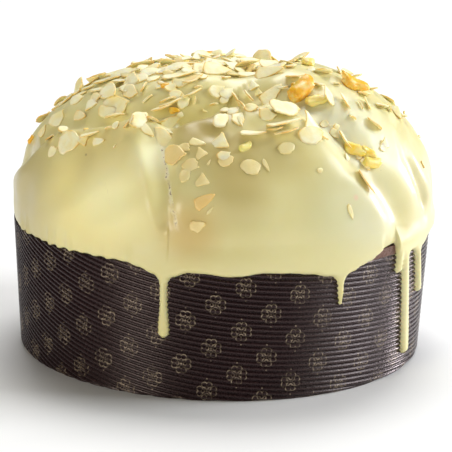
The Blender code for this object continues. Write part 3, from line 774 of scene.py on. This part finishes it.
# Patches of glaze colour. Partly the glaze's own tone, warmer and darker where it ran thin over the
# loaf and paler where it lies thick; partly painted shade, darker in the hollows, beside the creases
# and at the sides, and painted light, brighter on the front of the left lobe and on the long drip
# and whiter on the right lobe. Each patch is its middle, how far it reaches in mm, how strong it
# is, and its colour.
THIN_AND_SHADED = (0.55, 0.44, 0.16)
WARM_AND_LIT = (0.97, 0.855, 0.37)
THICK_AND_LIT = (0.84, 0.835, 0.62)
TONE_LIGHT_AND_SHADE_PATCHES = (
    ((-0.063, -0.083, 0.100), 52, 0.90, WARM_AND_LIT),
    ((-0.058, -0.075, 0.114), 26, 0.45, THIN_AND_SHADED),
    ((-0.011, -0.081, 0.129), 26, 0.95, (0.49, 0.385, 0.125)),
    ((0.006, -0.094, 0.116), 27, 0.80, THIN_AND_SHADED),
    ((0.028, -0.086, 0.116), 18, 0.45, THIN_AND_SHADED),
    ((0.008, -0.104, 0.102), 22, 0.55, THIN_AND_SHADED),
    ((-0.015, -0.106, 0.085), 22, 0.90, (0.66, 0.49, 0.17)),
    ((-0.099, -0.041, 0.089), 46, 0.90, (0.56, 0.48, 0.22)),
    ((-0.054, -0.091, 0.098), 28, 0.80, (1.0, 0.93, 0.52)),
    ((0.056, -0.088, 0.093), 30, 0.75, (0.64, 0.62, 0.35)),
    ((0.060, -0.058, 0.126), 36, 0.75, THICK_AND_LIT),
    ((0.084, -0.050, 0.112), 34, 0.70, (0.80, 0.78, 0.46)),
    ((0.073, -0.079, 0.086), 28, 0.75, (0.72, 0.70, 0.46)),
    ((0.102, -0.036, 0.088), 36, 0.80, (0.66, 0.60, 0.32)),
    ((0.090, -0.052, 0.040), 36, 0.80, (0.88, 0.82, 0.47)),
    ((-0.033, -0.088, 0.114), 15, 0.90, (0.96, 0.93, 0.60)),
    ((0.063, -0.084, 0.097), 2.2, 0.55, (0.83, 0.52, 0.38)),
)
# Small dark crumbs on the glaze, each its place and its radius in mm.
SPECKS = (((-0.065, -0.073, 0.112), 0.45), ((0.058, -0.062, 0.121), 0.40), ((0.076, -0.065, 0.106), 0.40))


def distance_to(tree, where, middle):
    return put(tree, "ShaderNodeVectorMath", (where, middle), operation="DISTANCE").outputs["Value"]


icing, t, skin, spot = new_material("pale_glaze")
broad = noise_of(t, spot, 14.0, 2.0, 0.5)
fine = noise_of(t, spot, 90.0, 4.0, 0.6)
tone = ramp_of(t, broad, (0.35, (0.715, 0.635, 0.275)), (0.65, (0.760, 0.700, 0.350)))
tone = mix_colour(t, ranged(t, fine, 0.35, 0.65, 0.0, 0.25), tone, (0.79, 0.75, 0.42))
# Mix in the patches: the glaze's own tone, painted shade and painted light.
for middle, spread, strength, colour in TONE_LIGHT_AND_SHADE_PATCHES:
    sizes = (distance_to(t, spot, middle), 0.15 * spread * 0.001, spread * 0.001, strength, 0.0)
    share = put(t, "ShaderNodeMapRange", sizes, interpolation_type="SMOOTHSTEP").outputs[0]
    tone = mix_colour(t, share, tone, colour)
torn = times(t, minus(t, noise_of(t, spot, 260.0, 3.0, 0.6), 0.5), 3.2)
from_split = maths(t, "ABSOLUTE", plus(t, kept_value(t, "off_split"), torn))
along = kept_value(t, "along_split")
ends = times(t, ranged(t, along, 0.03, 0.15, 0.0, 1.0), ranged(t, along, 0.84, 0.99, 1.0, 0.0))
broken = ranged(t, noise_of(t, spot, 150.0, 1.0, 0.5), 0.36, 0.52, 0.35, 1.0)
ends = times(t, ends, broken)
# A white band along the split: a whitish streak with painted highlight.
white_streak_and_highlight = times(t, ranged(t, from_split, 0.3, 1.5, 0.9, 0.0), ends)
tone = mix_colour(t, white_streak_and_highlight, tone, (0.98, 0.92, 0.66))
crumbs = ranged(t, noise_of(t, spot, 620.0, 2.0, 0.7), 0.47, 0.58, 0.0, 1.0)
dark_band = ranged(t, from_split, 0.25, 0.75, 0.9, 0.0)
tone = mix_colour(t, times(t, times(t, dark_band, crumbs), ends), tone, (0.27, 0.15, 0.09))
for middle, radius in SPECKS:
    share = ranged(t, distance_to(t, spot, middle), 0.0, radius * 0.002, 0.9, 0.0)
    tone = mix_colour(t, share, tone, (0.13, 0.09, 0.05))
t.links.new(tone, skin.inputs["Base Color"])
t.links.new(ranged(t, fine, 0.35, 0.65, 0.36, 0.48), skin.inputs["Roughness"])
set_values(skin, {
    "Subsurface Weight": 0.35, "Subsurface Radius": (1.0, 0.75, 0.35), "Subsurface Scale": 0.004,
    "Coat Weight": 0.4, "Coat Roughness": 0.28,
})
bumped(t, skin, noise_of(t, spot, 45.0, 2.0, 0.5), 0.0008, 0.35)
glaze.data.materials.append(icing)
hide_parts("glaze")
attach(glaze, "root")


# Sliced almonds. Thin slices of whole nuts with their skin left on at the rim, scattered on while
# the glaze was wet and lightly toasted, so that their rims are golden. Those that fell first are
# under a film of glaze.
FLAKE_THICKNESS = 0.0009
FLAKE_SIDES = 20
FLAKE_CURL = 0.36
UNIT_THICKNESS = 0.09
BACK_FLAKES = 120
TOP_FLAKES = 85
TOP_LEFT_FLAKES = 55
COVERED = 5
CUT_WIDTHS = {"leaf": 0.52, "round": 0.70, "half": 0.70, "scrap": 0.80, "sliver": 0.24}
SHAPES_PER_CUT = 3
# Each row is one flake: turn, place from the top (0) to the waist (1), length in mm, heading,
# lean, cut (by its place in CUT_WIDTHS, and COVERED more under the film) and how golden it is.
FLAKES = (
    (-49, 0.676, 17, 30, 13, 1, 0.3), (-44, 0.659, 7, -33, -16, 3, 0.3),
    (-42, 0.632, 12, 24, -44, 0, 0.2), (-38.5, 0.649, 7, 23, 12, 0, 0.3),
    (-32.5, 0.656, 2, 58, 7, 4, 0.3), (-55, 0.745, 6, 81, 24, 2, 0.6),
    (-61, 0.689, 15, 168, -4, 4, 0.9), (-77, 0.685, 7, 102, 27, 0, 0.6),
    (-73.5, 0.586, 12, 78, 20, 0, 0.3), (-63.5, 0.523, 10, 19, 10, 0, 0.8),
    (-77.5, 0.487, 9, 37, 12, 2, 0.2), (-98, 0.550, 16, 31, -6, 0, 0.5),
    (-99.5, 0.527, 12, 32, 3, 0, 0.4), (-100.5, 0.619, 7, 94, 7, 0, 0.9),
    (-83, 0.454, 11, 28, 6, 0, 0.2), (-56, 0.404, 19, -8, 23, 0, 0.1), (-63, 0.437, 8, 9, 23, 2, 0.6),
    (-47, 0.431, 19, 17, 6, 0, 0.1), (-46.5, 0.464, 14, 30, -57, 4, 0.8),
    (-50.5, 0.460, 11, 31, 15, 1, 0.2), (-45.5, 0.368, 12, -13, 11, 0, 0.7),
    (-51, 0.364, 8, -21, 0, 0, 0.2), (-55.5, 0.305, 14, -11, 16, 1, 0.2),
    (-41, 0.338, 8, 106, -36, 4, 0.7), (-80, 0.325, 19, 9, -3, 0, 0.2),
    (-82.5, 0.358, 14, 37, -14, 0, 0.2), (-62.5, 0.325, 12, 8, -30, 0, 0.2),
    (-80, 0.255, 16, 21, 4, 0, 0.5), (-75.5, 0.225, 7, 108, 27, 2, 0.2),
    (-107.5, 0.215, 6, -162, -10, 2, 0.9), (-97, 0.176, 8, 118, 5, 1, 0.2),
    (-42.5, 0.278, 8, 81, 6, 1, 0.2), (-47, 0.202, 19, 2, 5, 0, 0.1),
    (-31.5, 0.229, 18, 43, -8, 0, 0.3), (-25.5, 0.275, 8, 30, 22, 1, 0.1),
    (-29, 0.305, 6, 31, 8, 2, 0.2), (-16.5, 0.255, 5, 48, -53, 4, 0.2),
    (-32.5, 0.063, 11, 104, -16, 0, 0.2), (-34, 0.116, 8, 46, 7, 0, 0.1),
    (-8.5, 0.156, 15, 25, 30, 0, 0.1), (0.5, 0.176, 6, 36, -17, 4, 0.7),
    (-4, 0.238, 11, 42, 7, 0, 0.2), (-0.5, 0.258, 5, 33, 3, 2, 0.3),
    (-26.5, 0.348, 12, 55, -70, 0, 0.3), (-28, 0.364, 14, 55, -70, 0, 0.7),
    (-28, 0.344, 10, 54, -68, 4, 0.3), (-21.5, 0.321, 8, 114, -3, 2, 0.1),
    (-16.5, 0.295, 5, 119, 69, 4, 0.2), (-25.5, 0.318, 6, 29, 10, 2, 0.1),
    (-18.5, 0.285, 10, 65, -70, 0, 0.2), (-36.5, 0.368, 7, 70, -55, 4, 0.3),
    (-27.5, 0.536, 13, 84, 1, 1, 0.2), (-30, 0.563, 8, 74, -43, 0, 0.6),
    (-29, 0.550, 7, 101, -59, 0, 0.5), (-27, 0.507, 6, 95, 19, 2, 0.6),
    (-25, 0.507, 10, 57, -20, 0, 0.8), (-28, 0.411, 10, 47, -62, 0, 0.5),
    (-25, 0.391, 12, 81, -5, 0, 0.7), (-22, 0.351, 4, 91, -2, 2, 0.1),
    (-37, 0.589, 5, 20, -27, 4, 0.9), (-34.5, 0.579, 4, 52, 26, 2, 0.3),
    (-24.5, 0.566, 8, -11, 18, 0, 0.5), (-19.5, 0.570, 16, -18, 10, 0, 0.5),
    (-18.5, 0.533, 6, -17, 11, 4, 0.1), (-15, 0.646, 13, -26, 0, 7, 0.6),
    (-12, 0.616, 6, 3, 0, 7, 0.3), (-8, 0.593, 8, -6, 0, 5, 0.1), (-1, 0.586, 10, -21, 21, 3, 0.2),
    (0.5, 0.646, 8, 13, 6, 0, 0.7), (0.5, 0.669, 7, 7, 0, 7, 0.4), (-6.5, 0.639, 7, 14, 0, 8, 0.3),
    (-9.5, 0.692, 8, 16, 0, 7, 0.3), (-4, 0.679, 4, 65, 0, 9, 0.3), (-5.5, 0.755, 8, -8, 0, 8, 0.3),
    (-10.5, 0.742, 7, 77, 0, 7, 0.2), (-4.5, 0.844, 11, 37, 0, 5, 1.0), (-3, 0.881, 5, 52, 0, 9, 0.2),
    (-6, 0.944, 8, 23, 0, 6, 0.5), (-1, 0.483, 11, 69, 6, 1, 0.1), (0, 0.427, 6, -44, 5, 2, 0.1),
    (171, 0.245, 8, -87, 1, 0, 0.7), (118.5, 0.013, 14, -50, 5, 0, 0.1),
    (100.5, 0.053, 14, -45, 8, 1, 0.1), (59.5, 0.123, 11, -24, 42, 1, 0.6),
    (33.5, 0.202, 15, -38, 28, 0, 0.5), (22, 0.136, 13, 43, 3, 2, 0.1), (50, 0.219, 8, 3, -16, 0, 0.6),
    (55.5, 0.268, 5, -74, 38, 3, 0.1), (40.5, 0.282, 11, -29, -38, 0, 0.4),
    (60.5, 0.305, 11, -46, -43, 0, 0.1), (79.5, 0.318, 6, 4, 40, 2, 0.6),
    (83, 0.341, 7, -69, 44, 0, 0.6), (90.5, 0.381, 9, -15, -44, 0, 0.2),
    (25.5, 0.298, 14, 20, 14, 0, 0.5), (23, 0.444, 19, 15, 24, 1, 0.4),
    (46, 0.404, 14, 60, 44, 0, 0.2), (50, 0.454, 11, -114, -35, 0, 0.5),
    (59.5, 0.490, 9, -125, -34, 0, 0.2), (56, 0.480, 6, -104, -47, 4, 0.6),
    (82, 0.447, 8, -4, -38, 1, 0.2), (67.5, 0.517, 7, -34, -38, 2, 0.2),
    (70.5, 0.540, 5, -102, -50, 3, 0.1), (75.5, 0.570, 8, -109, 30, 0, 0.6),
    (80.5, 0.606, 11, -3, -42, 4, 0.6), (97, 0.636, 8, -15, 41, 4, 0.5),
    (55, 0.570, 9, -61, -47, 2, 0.4), (54.5, 0.662, 7, -33, 20, 3, 0.5), (53, 0.676, 5, -5, 8, 2, 0.4),
    (95, 0.762, 6, 166, 2, 4, 0.5), (71.5, 0.815, 4, -83, 1, 4, 0.7),
    (39.5, 0.553, 7, -87, 21, 0, 0.6), (42, 0.589, 11, -88, -43, 0, 0.3),
    (39, 0.672, 5, 17, 12, 3, 0.1), (44, 0.679, 4, 36, -7, 2, 0.3), (45, 0.719, 7, -71, 16, 0, 0.5),
    (41.5, 0.801, 14, -69, -26, 0, 0.9), (34.5, 0.911, 9, -72, 0, 9, 0.1),
    (19.5, 0.523, 19, 7, -51, 0, 0.3), (19.5, 0.553, 13, 7, -57, 0, 0.7),
    (17, 0.536, 10, 10, -50, 0, 0.4), (9, 0.550, 13, -4, -41, 0, 0.4),
    (29.5, 0.517, 15, 6, 20, 3, 0.1), (38, 0.493, 5, 1, 13, 2, 0.6), (27, 0.576, 12, -14, 13, 2, 0.3),
    (32, 0.586, 6, -15, -42, 4, 0.7), (42, 0.520, 4, 6, 42, 3, 0.2), (4.5, 0.474, 9, 52, 5, 3, 0.3),
    (5.5, 0.490, 7, -77, 12, 4, 0.2), (15.5, 0.474, 10, -28, 16, 0, 0.5),
    (9.5, 0.431, 6, -25, 21, 2, 0.8), (15, 0.258, 9, -80, -67, 4, 0.8),
    (7.5, 0.248, 10, -80, -70, 4, 0.7), (6.5, 0.417, 10, -71, -51, 4, 0.6),
    (19.5, 0.222, 7, -31, 11, 3, 0.1), (2, 0.235, 10, 35, 5, 0, 0.1), (18.5, 0.619, 8, -3, 0, 7, 0.1),
    (7.5, 0.692, 10, -6, 0, 7, 0.2), (12, 0.685, 8, -67, 0, 9, 0.2), (27, 0.728, 3, -6, 0, 7, 0.1),
    (3, 0.437, 6, 37, 3, 2, 0.1), (-6.5, 0.275, 5, 35, -70, 4, 0.2), (-11, 0.298, 4, 16, -2, 4, 0.1),
    (-53, 0.248, 8, 57, 10, 0, 0.1), (-77, 0.295, 9, 17, 4, 0, 0.3), (-34.5, 0.305, 6, 25, 9, 3, 0.1),
    (-27.5, 0.189, 9, 50, 10, 1, 0.1), (-15.5, 0.209, 7, 24, 5, 0, 0.1),
    (20, 0.076, 13, 43, 5, 0, 0.1), (20.5, 0.258, 5, -41, 8, 3, 0.2), (14, 0.437, 4, 4, 3, 2, 0.4),
    (45, 0.109, 7, -43, 0, 0, 0.4), (31.5, 0.295, 6, -22, -39, 4, 0.2),
    (47, 0.344, 5, -41, -44, 2, 0.2), (57.5, 0.361, 4, -51, -36, 3, 0.1),
    (65.5, 0.440, 7, -29, -44, 2, 0.2), (48.5, 0.517, 4, -59, -48, 3, 0.2),
    (-70, 0.394, 11, 25, -21, 0, 0.3), (-90.5, 0.421, 11, 35, -13, 0, 0.3),
    (-61.5, 0.464, 8, 28, 4, 3, 0.3), (-57, 0.639, 6, 112, 35, 2, 0.4),
    (-48, 0.599, 5, 128, -3, 4, 0.3),
)


def flake_outline(cut, pick):
    """One cut of almond slice, of length 1 in X, as a ring of points."""
    ring = []
    slim = CUT_WIDTHS[cut] * pick.uniform(0.88, 1.08)
    breaks = [(pick.uniform(-0.5, 0.5), 0.12)] if cut == "half" else []
    for _ in range(3 if cut == "scrap" else 1):
        breaks.append((pick.uniform(0, 2 * math.pi), pick.uniform(0.28, 0.46)))
    nibble = [pick.uniform(0, 6.28) for _ in range(3)]
    for k in range(FLAKE_SIDES):
        angle = 2 * math.pi * k / FLAKE_SIDES
        x = math.cos(angle) * 0.5
        y = math.sin(angle) * (1.0 - 0.42 * math.cos(angle)) * 0.5 * slim
        for way, reach in breaks:
            reach *= math.hypot(math.cos(way), math.sin(way) * slim)
            past = max(x * math.cos(way) + y * math.sin(way) - reach, 0.0)
            x, y = x - past * math.cos(way), y - past * math.sin(way)
        if cut == "half":
            x = (x + 0.20) / 0.62
        rough = 1.0 + 0.06 * math.sin(3 * angle + nibble[0]) + 0.05 * math.sin(5 * angle + nibble[1])
        rough += 0.035 * math.sin(8 * angle + nibble[2])
        ring.append((x * rough, y * rough))
    return ring


def flake_shape(name, cut, seed):
    """A slice of length 1 with a rounded rim, curled a little as it dried."""
    pick = random.Random(seed)
    ring = flake_outline(cut, pick)
    bend = pick.uniform(-0.9, 0.9)
    twist = pick.uniform(-1.0, 1.0)
    net = bmesh.new()
    rim_layer = net.verts.layers.float.new("rim")
    loops = []
    for side in (1, -1):
        for scale, lift in ((1.0, 0.0), (0.93, 0.42), (0.80, 0.5), (0.42, 0.5)):
            if side == -1 and scale == 1.0:
                loops.append(loops[0])
                continue
            loop = []
            for x, y in ring:
                x, y = x * scale, y * scale
                curl = bend * (x * x - 0.08) + twist * x * y
                vert = net.verts.new((x, y, side * lift * UNIT_THICKNESS + FLAKE_CURL * curl))
                vert[rim_layer] = (scale - 0.8) / 0.2 if scale > 0.8 else 0.0
                loop.append(vert)
            loops.append(loop)
        middle = net.verts.new((0.0, 0.0, side * UNIT_THICKNESS / 2 - 0.02 * bend))
        loops.append([middle] * FLAKE_SIDES)
    for start, flip in ((0, False), (5, True)):
        for low, high in zip(loops[start:start + 4], loops[start + 1:start + 5]):
            for k in range(FLAKE_SIDES):
                n = (k + 1) % FLAKE_SIDES
                corners = [low[k], low[n], high[n], high[k]]
                corners = corners[:3] if high[n] is high[k] else corners
                net.faces.new(corners[::-1] if flip else corners)
    bmesh.ops.recalc_face_normals(net, faces=net.faces)
    for face in net.faces:
        face.smooth = True
    return bpy.data.objects.new(name, as_mesh(net, name))


def laid_on(turn, way, heading, lean, lift):
    """Where a topping lies on the glaze: its place, and its axes turned with the surface."""
    turn, way = np.atleast_1d(turn).astype(float), np.atleast_1d(way).astype(float)
    place = glaze_point(turn, way)
    east = glaze_point(turn + 0.3, way) - place
    east /= np.linalg.norm(east, axis=-1, keepdims=True)
    normal = np.cross(east, glaze_point(turn, way - 0.004) - place)
    normal /= np.linalg.norm(normal, axis=-1, keepdims=True)
    north = np.cross(normal, east)
    heading, lean = np.radians(heading)[:, None], np.radians(lean)[:, None]
    ahead = east * np.cos(heading) + north * np.sin(heading)
    aside = np.cross(ahead, normal)
    facing = normal * np.cos(lean) + aside * np.sin(lean)
    spins = []
    for front, top in zip(ahead, facing):
        spins.append(Matrix(np.stack([front, np.cross(top, front), top], 1).tolist()).to_euler())
    return place + normal * lift[:, None], np.array(spins)


def strewn(name, shapes, places, spins, sizes, numbers, surface):
    """Sets copies of the shapes on the places, as one plain mesh that keeps the numbers."""
    group = bpy.data.collections.new(name + "_shapes")
    for shape in shapes:
        group.objects.link(shape)
    dots = bpy.data.meshes.new(name + "_dots")
    dots.from_pydata(places.tolist(), [], [])
    for label, values in (("spin", spins), ("size", sizes)):
        dots.attributes.new(label, "FLOAT_VECTOR", "POINT").data.foreach_set("vector", values.ravel())
    dots.attributes.new("shape", "INT", "POINT").data.foreach_set("value", numbers.pop("shape").astype(int))
    for label, values in numbers.items():
        dots.attributes.new(label, "FLOAT", "POINT").data.foreach_set("value", values)
    tree = new_tree(name, {})
    spin = put(tree, "GeometryNodeInputNamedAttribute", ("spin",), data_type="FLOAT_VECTOR")
    size = put(tree, "GeometryNodeInputNamedAttribute", ("size",), data_type="FLOAT_VECTOR")
    shape = put(tree, "GeometryNodeInputNamedAttribute", ("shape",), data_type="INT")
    kinds = put(tree, "GeometryNodeCollectionInfo", (group, True, True))
    start = put(tree, "NodeGroupInput").outputs[0]
    set_down = put(tree, "GeometryNodeInstanceOnPoints", (
        start, None, out_of(kinds), True, out_of(shape), out_of(spin), out_of(size)))
    solid = put(tree, "GeometryNodeRealizeInstances", (out_of(set_down),))
    finished = put(tree, "GeometryNodeSetMaterial", (out_of(solid), None, surface))
    tree.links.new(out_of(finished), put(tree, "NodeGroupOutput").inputs[0])
    made = grown(name, tree, {}, dots)
    for shape in shapes:
        bpy.data.objects.remove(shape)
    bpy.data.collections.remove(group)
    return made


rows = list(FLAKES)
pick = random.Random(4)
while len(rows) < len(FLAKES) + BACK_FLAKES:
    way = 0.16 + 0.62 * pick.random() ** 0.8
    turn = pick.uniform(100, 262)
    if way > 0.55 and pick.random() < 0.5:
        continue
    golden = pick.choice((0.1, 0.2, 0.3, 0.5, 0.8))
    cut = pick.choice((0, 0, 0, 1, 2, 2, 3, 4))
    rows.append((turn, way, pick.uniform(6, 14), pick.uniform(0, 360), pick.gauss(0, 22), cut, golden))
for number in range(TOP_FLAKES):
    left = number < TOP_LEFT_FLAKES
    turn = pick.uniform(-125, -5) if left else pick.uniform(-5, 120)
    way = pick.uniform(0.02, 0.30 if left else 0.20)
    rows.append((turn, way, pick.uniform(6, 15), pick.uniform(-20, 70), pick.gauss(0, 17),
                 pick.choice((0, 0, 2, 3, 4, 5)), pick.choice((0.1, 0.3, 0.6))))
turn, way, length, heading, lean, cut, toast = np.array(rows).T
covered = (cut >= COVERED).astype(float)
cut = cut.astype(int) % COVERED
length = length * 0.001
lift = 0.0002 + np.abs(np.sin(np.radians(lean))) * length * 0.2 - 0.00015 * covered
places, spins = laid_on(turn, way, heading, lean, lift)
sizes = np.stack([length, length, np.full_like(length, FLAKE_THICKNESS / UNIT_THICKNESS)], -1)
almond, t, skin, spot = new_material("toasted_almond")
grain = noise_of(t, spot, 500.0, 3.0, 0.6)
patchy = noise_of(t, spot, 160.0, 2.0, 0.5)
golden = kept_value(t, "golden")
film = kept_value(t, "film")
rim_glow = times(t, kept_value(t, "rim"), ranged(t, patchy, 0.3, 0.6, 0.15, 1.0))
face_tone = mix_colour(t, ranged(t, patchy, 0.42, 0.62, 0.0, 0.7),
                       (1.0, 0.95, 0.66), (0.98, 0.84, 0.41))
face_tone = mix_colour(t, times(t, golden, 0.35), face_tone, (0.92, 0.70, 0.27))
toasted = mix_colour(t, golden, (0.90, 0.64, 0.18), (0.78, 0.44, 0.09))
tone = mix_colour(t, rim_glow, face_tone, toasted)
under_glaze = mix_colour(t, golden, (0.86, 0.75, 0.37), (0.86, 0.57, 0.17))
tone = mix_colour(t, times(t, film, 0.75), tone, under_glaze)
t.links.new(tone, skin.inputs["Base Color"])
t.links.new(ranged(t, film, 0.0, 1.0, 0.52, 0.32), skin.inputs["Roughness"])
set_values(skin, {
    "Subsurface Weight": 0.35, "Subsurface Radius": (1.0, 0.8, 0.4), "Subsurface Scale": 0.001,
})
bumped(t, skin, grain, 0.0003, 0.6)
shapes = []
for number, kind in enumerate(CUT_WIDTHS):
    for k in range(SHAPES_PER_CUT):
        shapes.append(flake_shape(f"flake_{number}{k}", kind, 31 * number + k))
flakes = strewn("almond_flakes", shapes, places, spins, sizes, {
    "shape": cut * SHAPES_PER_CUT + np.arange(len(cut)) % SHAPES_PER_CUT, "golden": toast, "film": covered,
}, almond)
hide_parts("glaze")
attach(flakes, "root")


# Candied peel. Small sticky lumps cut from orange and citron, sunk in the glaze and partly
# covered by it.
BACK_PEEL = 7
PEEL_SHAPES = 4
PEEL_WIDTH = 0.62
PEEL_HEIGHT = 0.42
# Each row is one lump: turn, place from the top, length in mm, heading and how orange it is.
PEEL = (
    (38.5, 0.334, 14.0, 9, 0.85), (38.5, 0.315, 7.1, -12, 1.00), (40.5, 0.397, 9.3, -24, 0.12),
    (66, 0.394, 13.6, -49, 0.80), (67.5, 0.414, 7.2, -24, 0.55), (69.5, 0.225, 10.2, 10, 0.15),
    (43.5, 0.642, 9.7, -41, 0.50), (47, 0.676, 7.4, -36, 0.40), (47, 0.722, 9.0, -26, 0.25),
    (-71.5, 0.096, 4.2, 155, 0.50), (-32, 0.305, 4.0, 57, 1.10), (-24.5, 0.354, 4.9, 58, 0.80),
    (6.5, 0.606, 6.1, 25, 0.00), (-91, 0.791, 4.5, 79, 0.90),
)


def peel_shape(name, seed):
    pick = random.Random(seed)
    net = bmesh.new()
    bmesh.ops.create_icosphere(net, subdivisions=3, radius=0.5)
    waves = []
    for _ in range(9):
        way = Vector([pick.gauss(0, 1) for _ in range(3)]).normalized()
        waves.append((way, pick.uniform(4, 11), pick.uniform(0, 6)))
    for vert in net.verts:
        way = vert.co.normalized()
        blocky = max(abs(way.x), abs(way.y), abs(way.z)) ** -0.55
        dents = sum(math.sin(wave.dot(vert.co) * count + shift) for wave, count, shift in waves)
        vert.co = vert.co * blocky * (1.0 + 0.055 * dents)
        vert.co.y *= PEEL_WIDTH
        vert.co.z *= PEEL_HEIGHT
        vert.co.z += 0.22 * vert.co.x * vert.co.x
    for face in net.faces:
        face.smooth = True
    return bpy.data.objects.new(name, as_mesh(net, name))


rows = list(PEEL)
while len(rows) < len(PEEL) + BACK_PEEL:
    rows.append((pick.uniform(105, 262), pick.uniform(0.36, 0.7), pick.uniform(5, 12),
                 pick.uniform(0, 360), pick.choice((0.2, 0.5, 0.8))))
turn, way, length, heading, orange = np.array(rows).T
length = length * 0.001
places, spins = laid_on(turn, way, heading, 0.0 * length, 0.10 * length)
peel, t, skin, spot = new_material("candied_peel")
shade = kept_value(t, "shade")
pulp = noise_of(t, spot, 230.0, 4.0, 0.6)
tone = ramp_of(t, shade, (0.0, (0.94, 0.80, 0.26)), (0.5, (0.96, 0.66, 0.09)), (1.0, (0.96, 0.45, 0.03)))
tone = mix_colour(t, ranged(t, pulp, 0.46, 0.64, 0.0, 0.6), tone, (0.92, 0.80, 0.36))
t.links.new(tone, skin.inputs["Base Color"])
t.links.new(ranged(t, pulp, 0.35, 0.65, 0.22, 0.42), skin.inputs["Roughness"])
set_values(skin, {
    "Subsurface Weight": 0.4, "Subsurface Radius": (1.0, 0.5, 0.15), "Subsurface Scale": 0.003,
})
bumped(t, skin, pulp, 0.0005, 0.5)
shapes = [peel_shape(f"peel_{k}", 50 + k) for k in range(PEEL_SHAPES)]
peel_bits = strewn("peel_bits", shapes, places, spins, np.repeat(length[:, None], 3, 1), {
    "shape": np.arange(len(length)) % PEEL_SHAPES, "shade": orange,
}, peel)
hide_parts("glaze")
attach(peel_bits, "root")


# The stage. A pale table top, two large soft lamps high on the right and behind, three smaller
# ones low at the sides, and a camera a little above the loaf.
TABLE_REACH = 6.0
LIT_POINT = Vector((0.0, 0.0, 0.08))
SKY_STRENGTH = 0.06
net = bmesh.new()
bmesh.ops.create_grid(net, x_segments=1, y_segments=1, size=TABLE_REACH)
table = set_out("table", as_mesh(net, "table"))
laminate, t, skin, spot = new_material("pale_table")
set_values(skin, {"Base Color": (0.93, 0.93, 0.93, 1.0), "Roughness": 0.6, "Specular IOR Level": 0.2})
table.data.materials.append(laminate)


def soft_light(name, place, size, power, colour=(1.0, 1.0, 1.0)):
    """A soft rectangular lamp that faces the loaf: its place, its sides in m and its watts."""
    lamp = bpy.data.lights.new(name, "AREA")
    lamp.shape = "RECTANGLE"
    lamp.size, lamp.size_y = size
    lamp.energy = power
    lamp.color = colour
    thing = set_out(name, lamp)
    thing.location = place
    thing.rotation_euler = (LIT_POINT - Vector(place)).to_track_quat("-Z", "Y").to_euler()


soft_light("key", (2.82, 0.15, 1.78), (1.6, 1.4), 75.0, (0.94, 0.97, 1.0))
soft_light("top", (0.12, 1.39, 3.07), (1.8, 1.8), 90.0)
soft_light("side", (2.85, 1.64, 0.37), (0.6, 0.9), 54.0, (0.98, 0.91, 0.95))
soft_light("left", (-1.94, -2.58, 0.77), (1.2, 0.9), 43.0, (1.0, 0.93, 0.80))
soft_light("front", (2.81, -1.62, 0.65), (1.2, 0.8), 10.0, (1.0, 0.98, 0.80))
world = bpy.data.worlds.new("studio")
world.use_nodes = True
set_values(world.node_tree.nodes["Background"], {"Color": (1.0, 1.0, 1.0, 1.0), "Strength": SKY_STRENGTH})
bpy.context.scene.world = world

EYE = Vector((0.0, -1.1023, 0.3514))
TILT = 0.259
PAN = 0.002
ROLL = 0.024
SENSOR = 36.0
FOCAL_PIXELS = 2224.2
PHOTO_PIXELS = 452.0
forward = Vector((math.sin(PAN) * math.cos(TILT), math.cos(PAN) * math.cos(TILT), -math.sin(TILT)))
right = Vector((math.cos(PAN), -math.sin(PAN), 0.0))
upward = right.cross(forward)
view_x = right * math.cos(ROLL) + upward * math.sin(ROLL)
view_y = upward * math.cos(ROLL) - right * math.sin(ROLL)
lens = bpy.data.cameras.new("camera")
lens.sensor_width = SENSOR
lens.lens = SENSOR * FOCAL_PIXELS / PHOTO_PIXELS
lens.clip_start = 0.01
camera = set_out("camera", lens)
camera.matrix_world = Matrix.Translation(EYE) @ Matrix((view_x, view_y, -forward)).transposed().to_4x4()
bpy.context.scene.camera = camera
bpy.context.scene.view_settings.view_transform = "Standard"

bpy.context.view_layer.update()
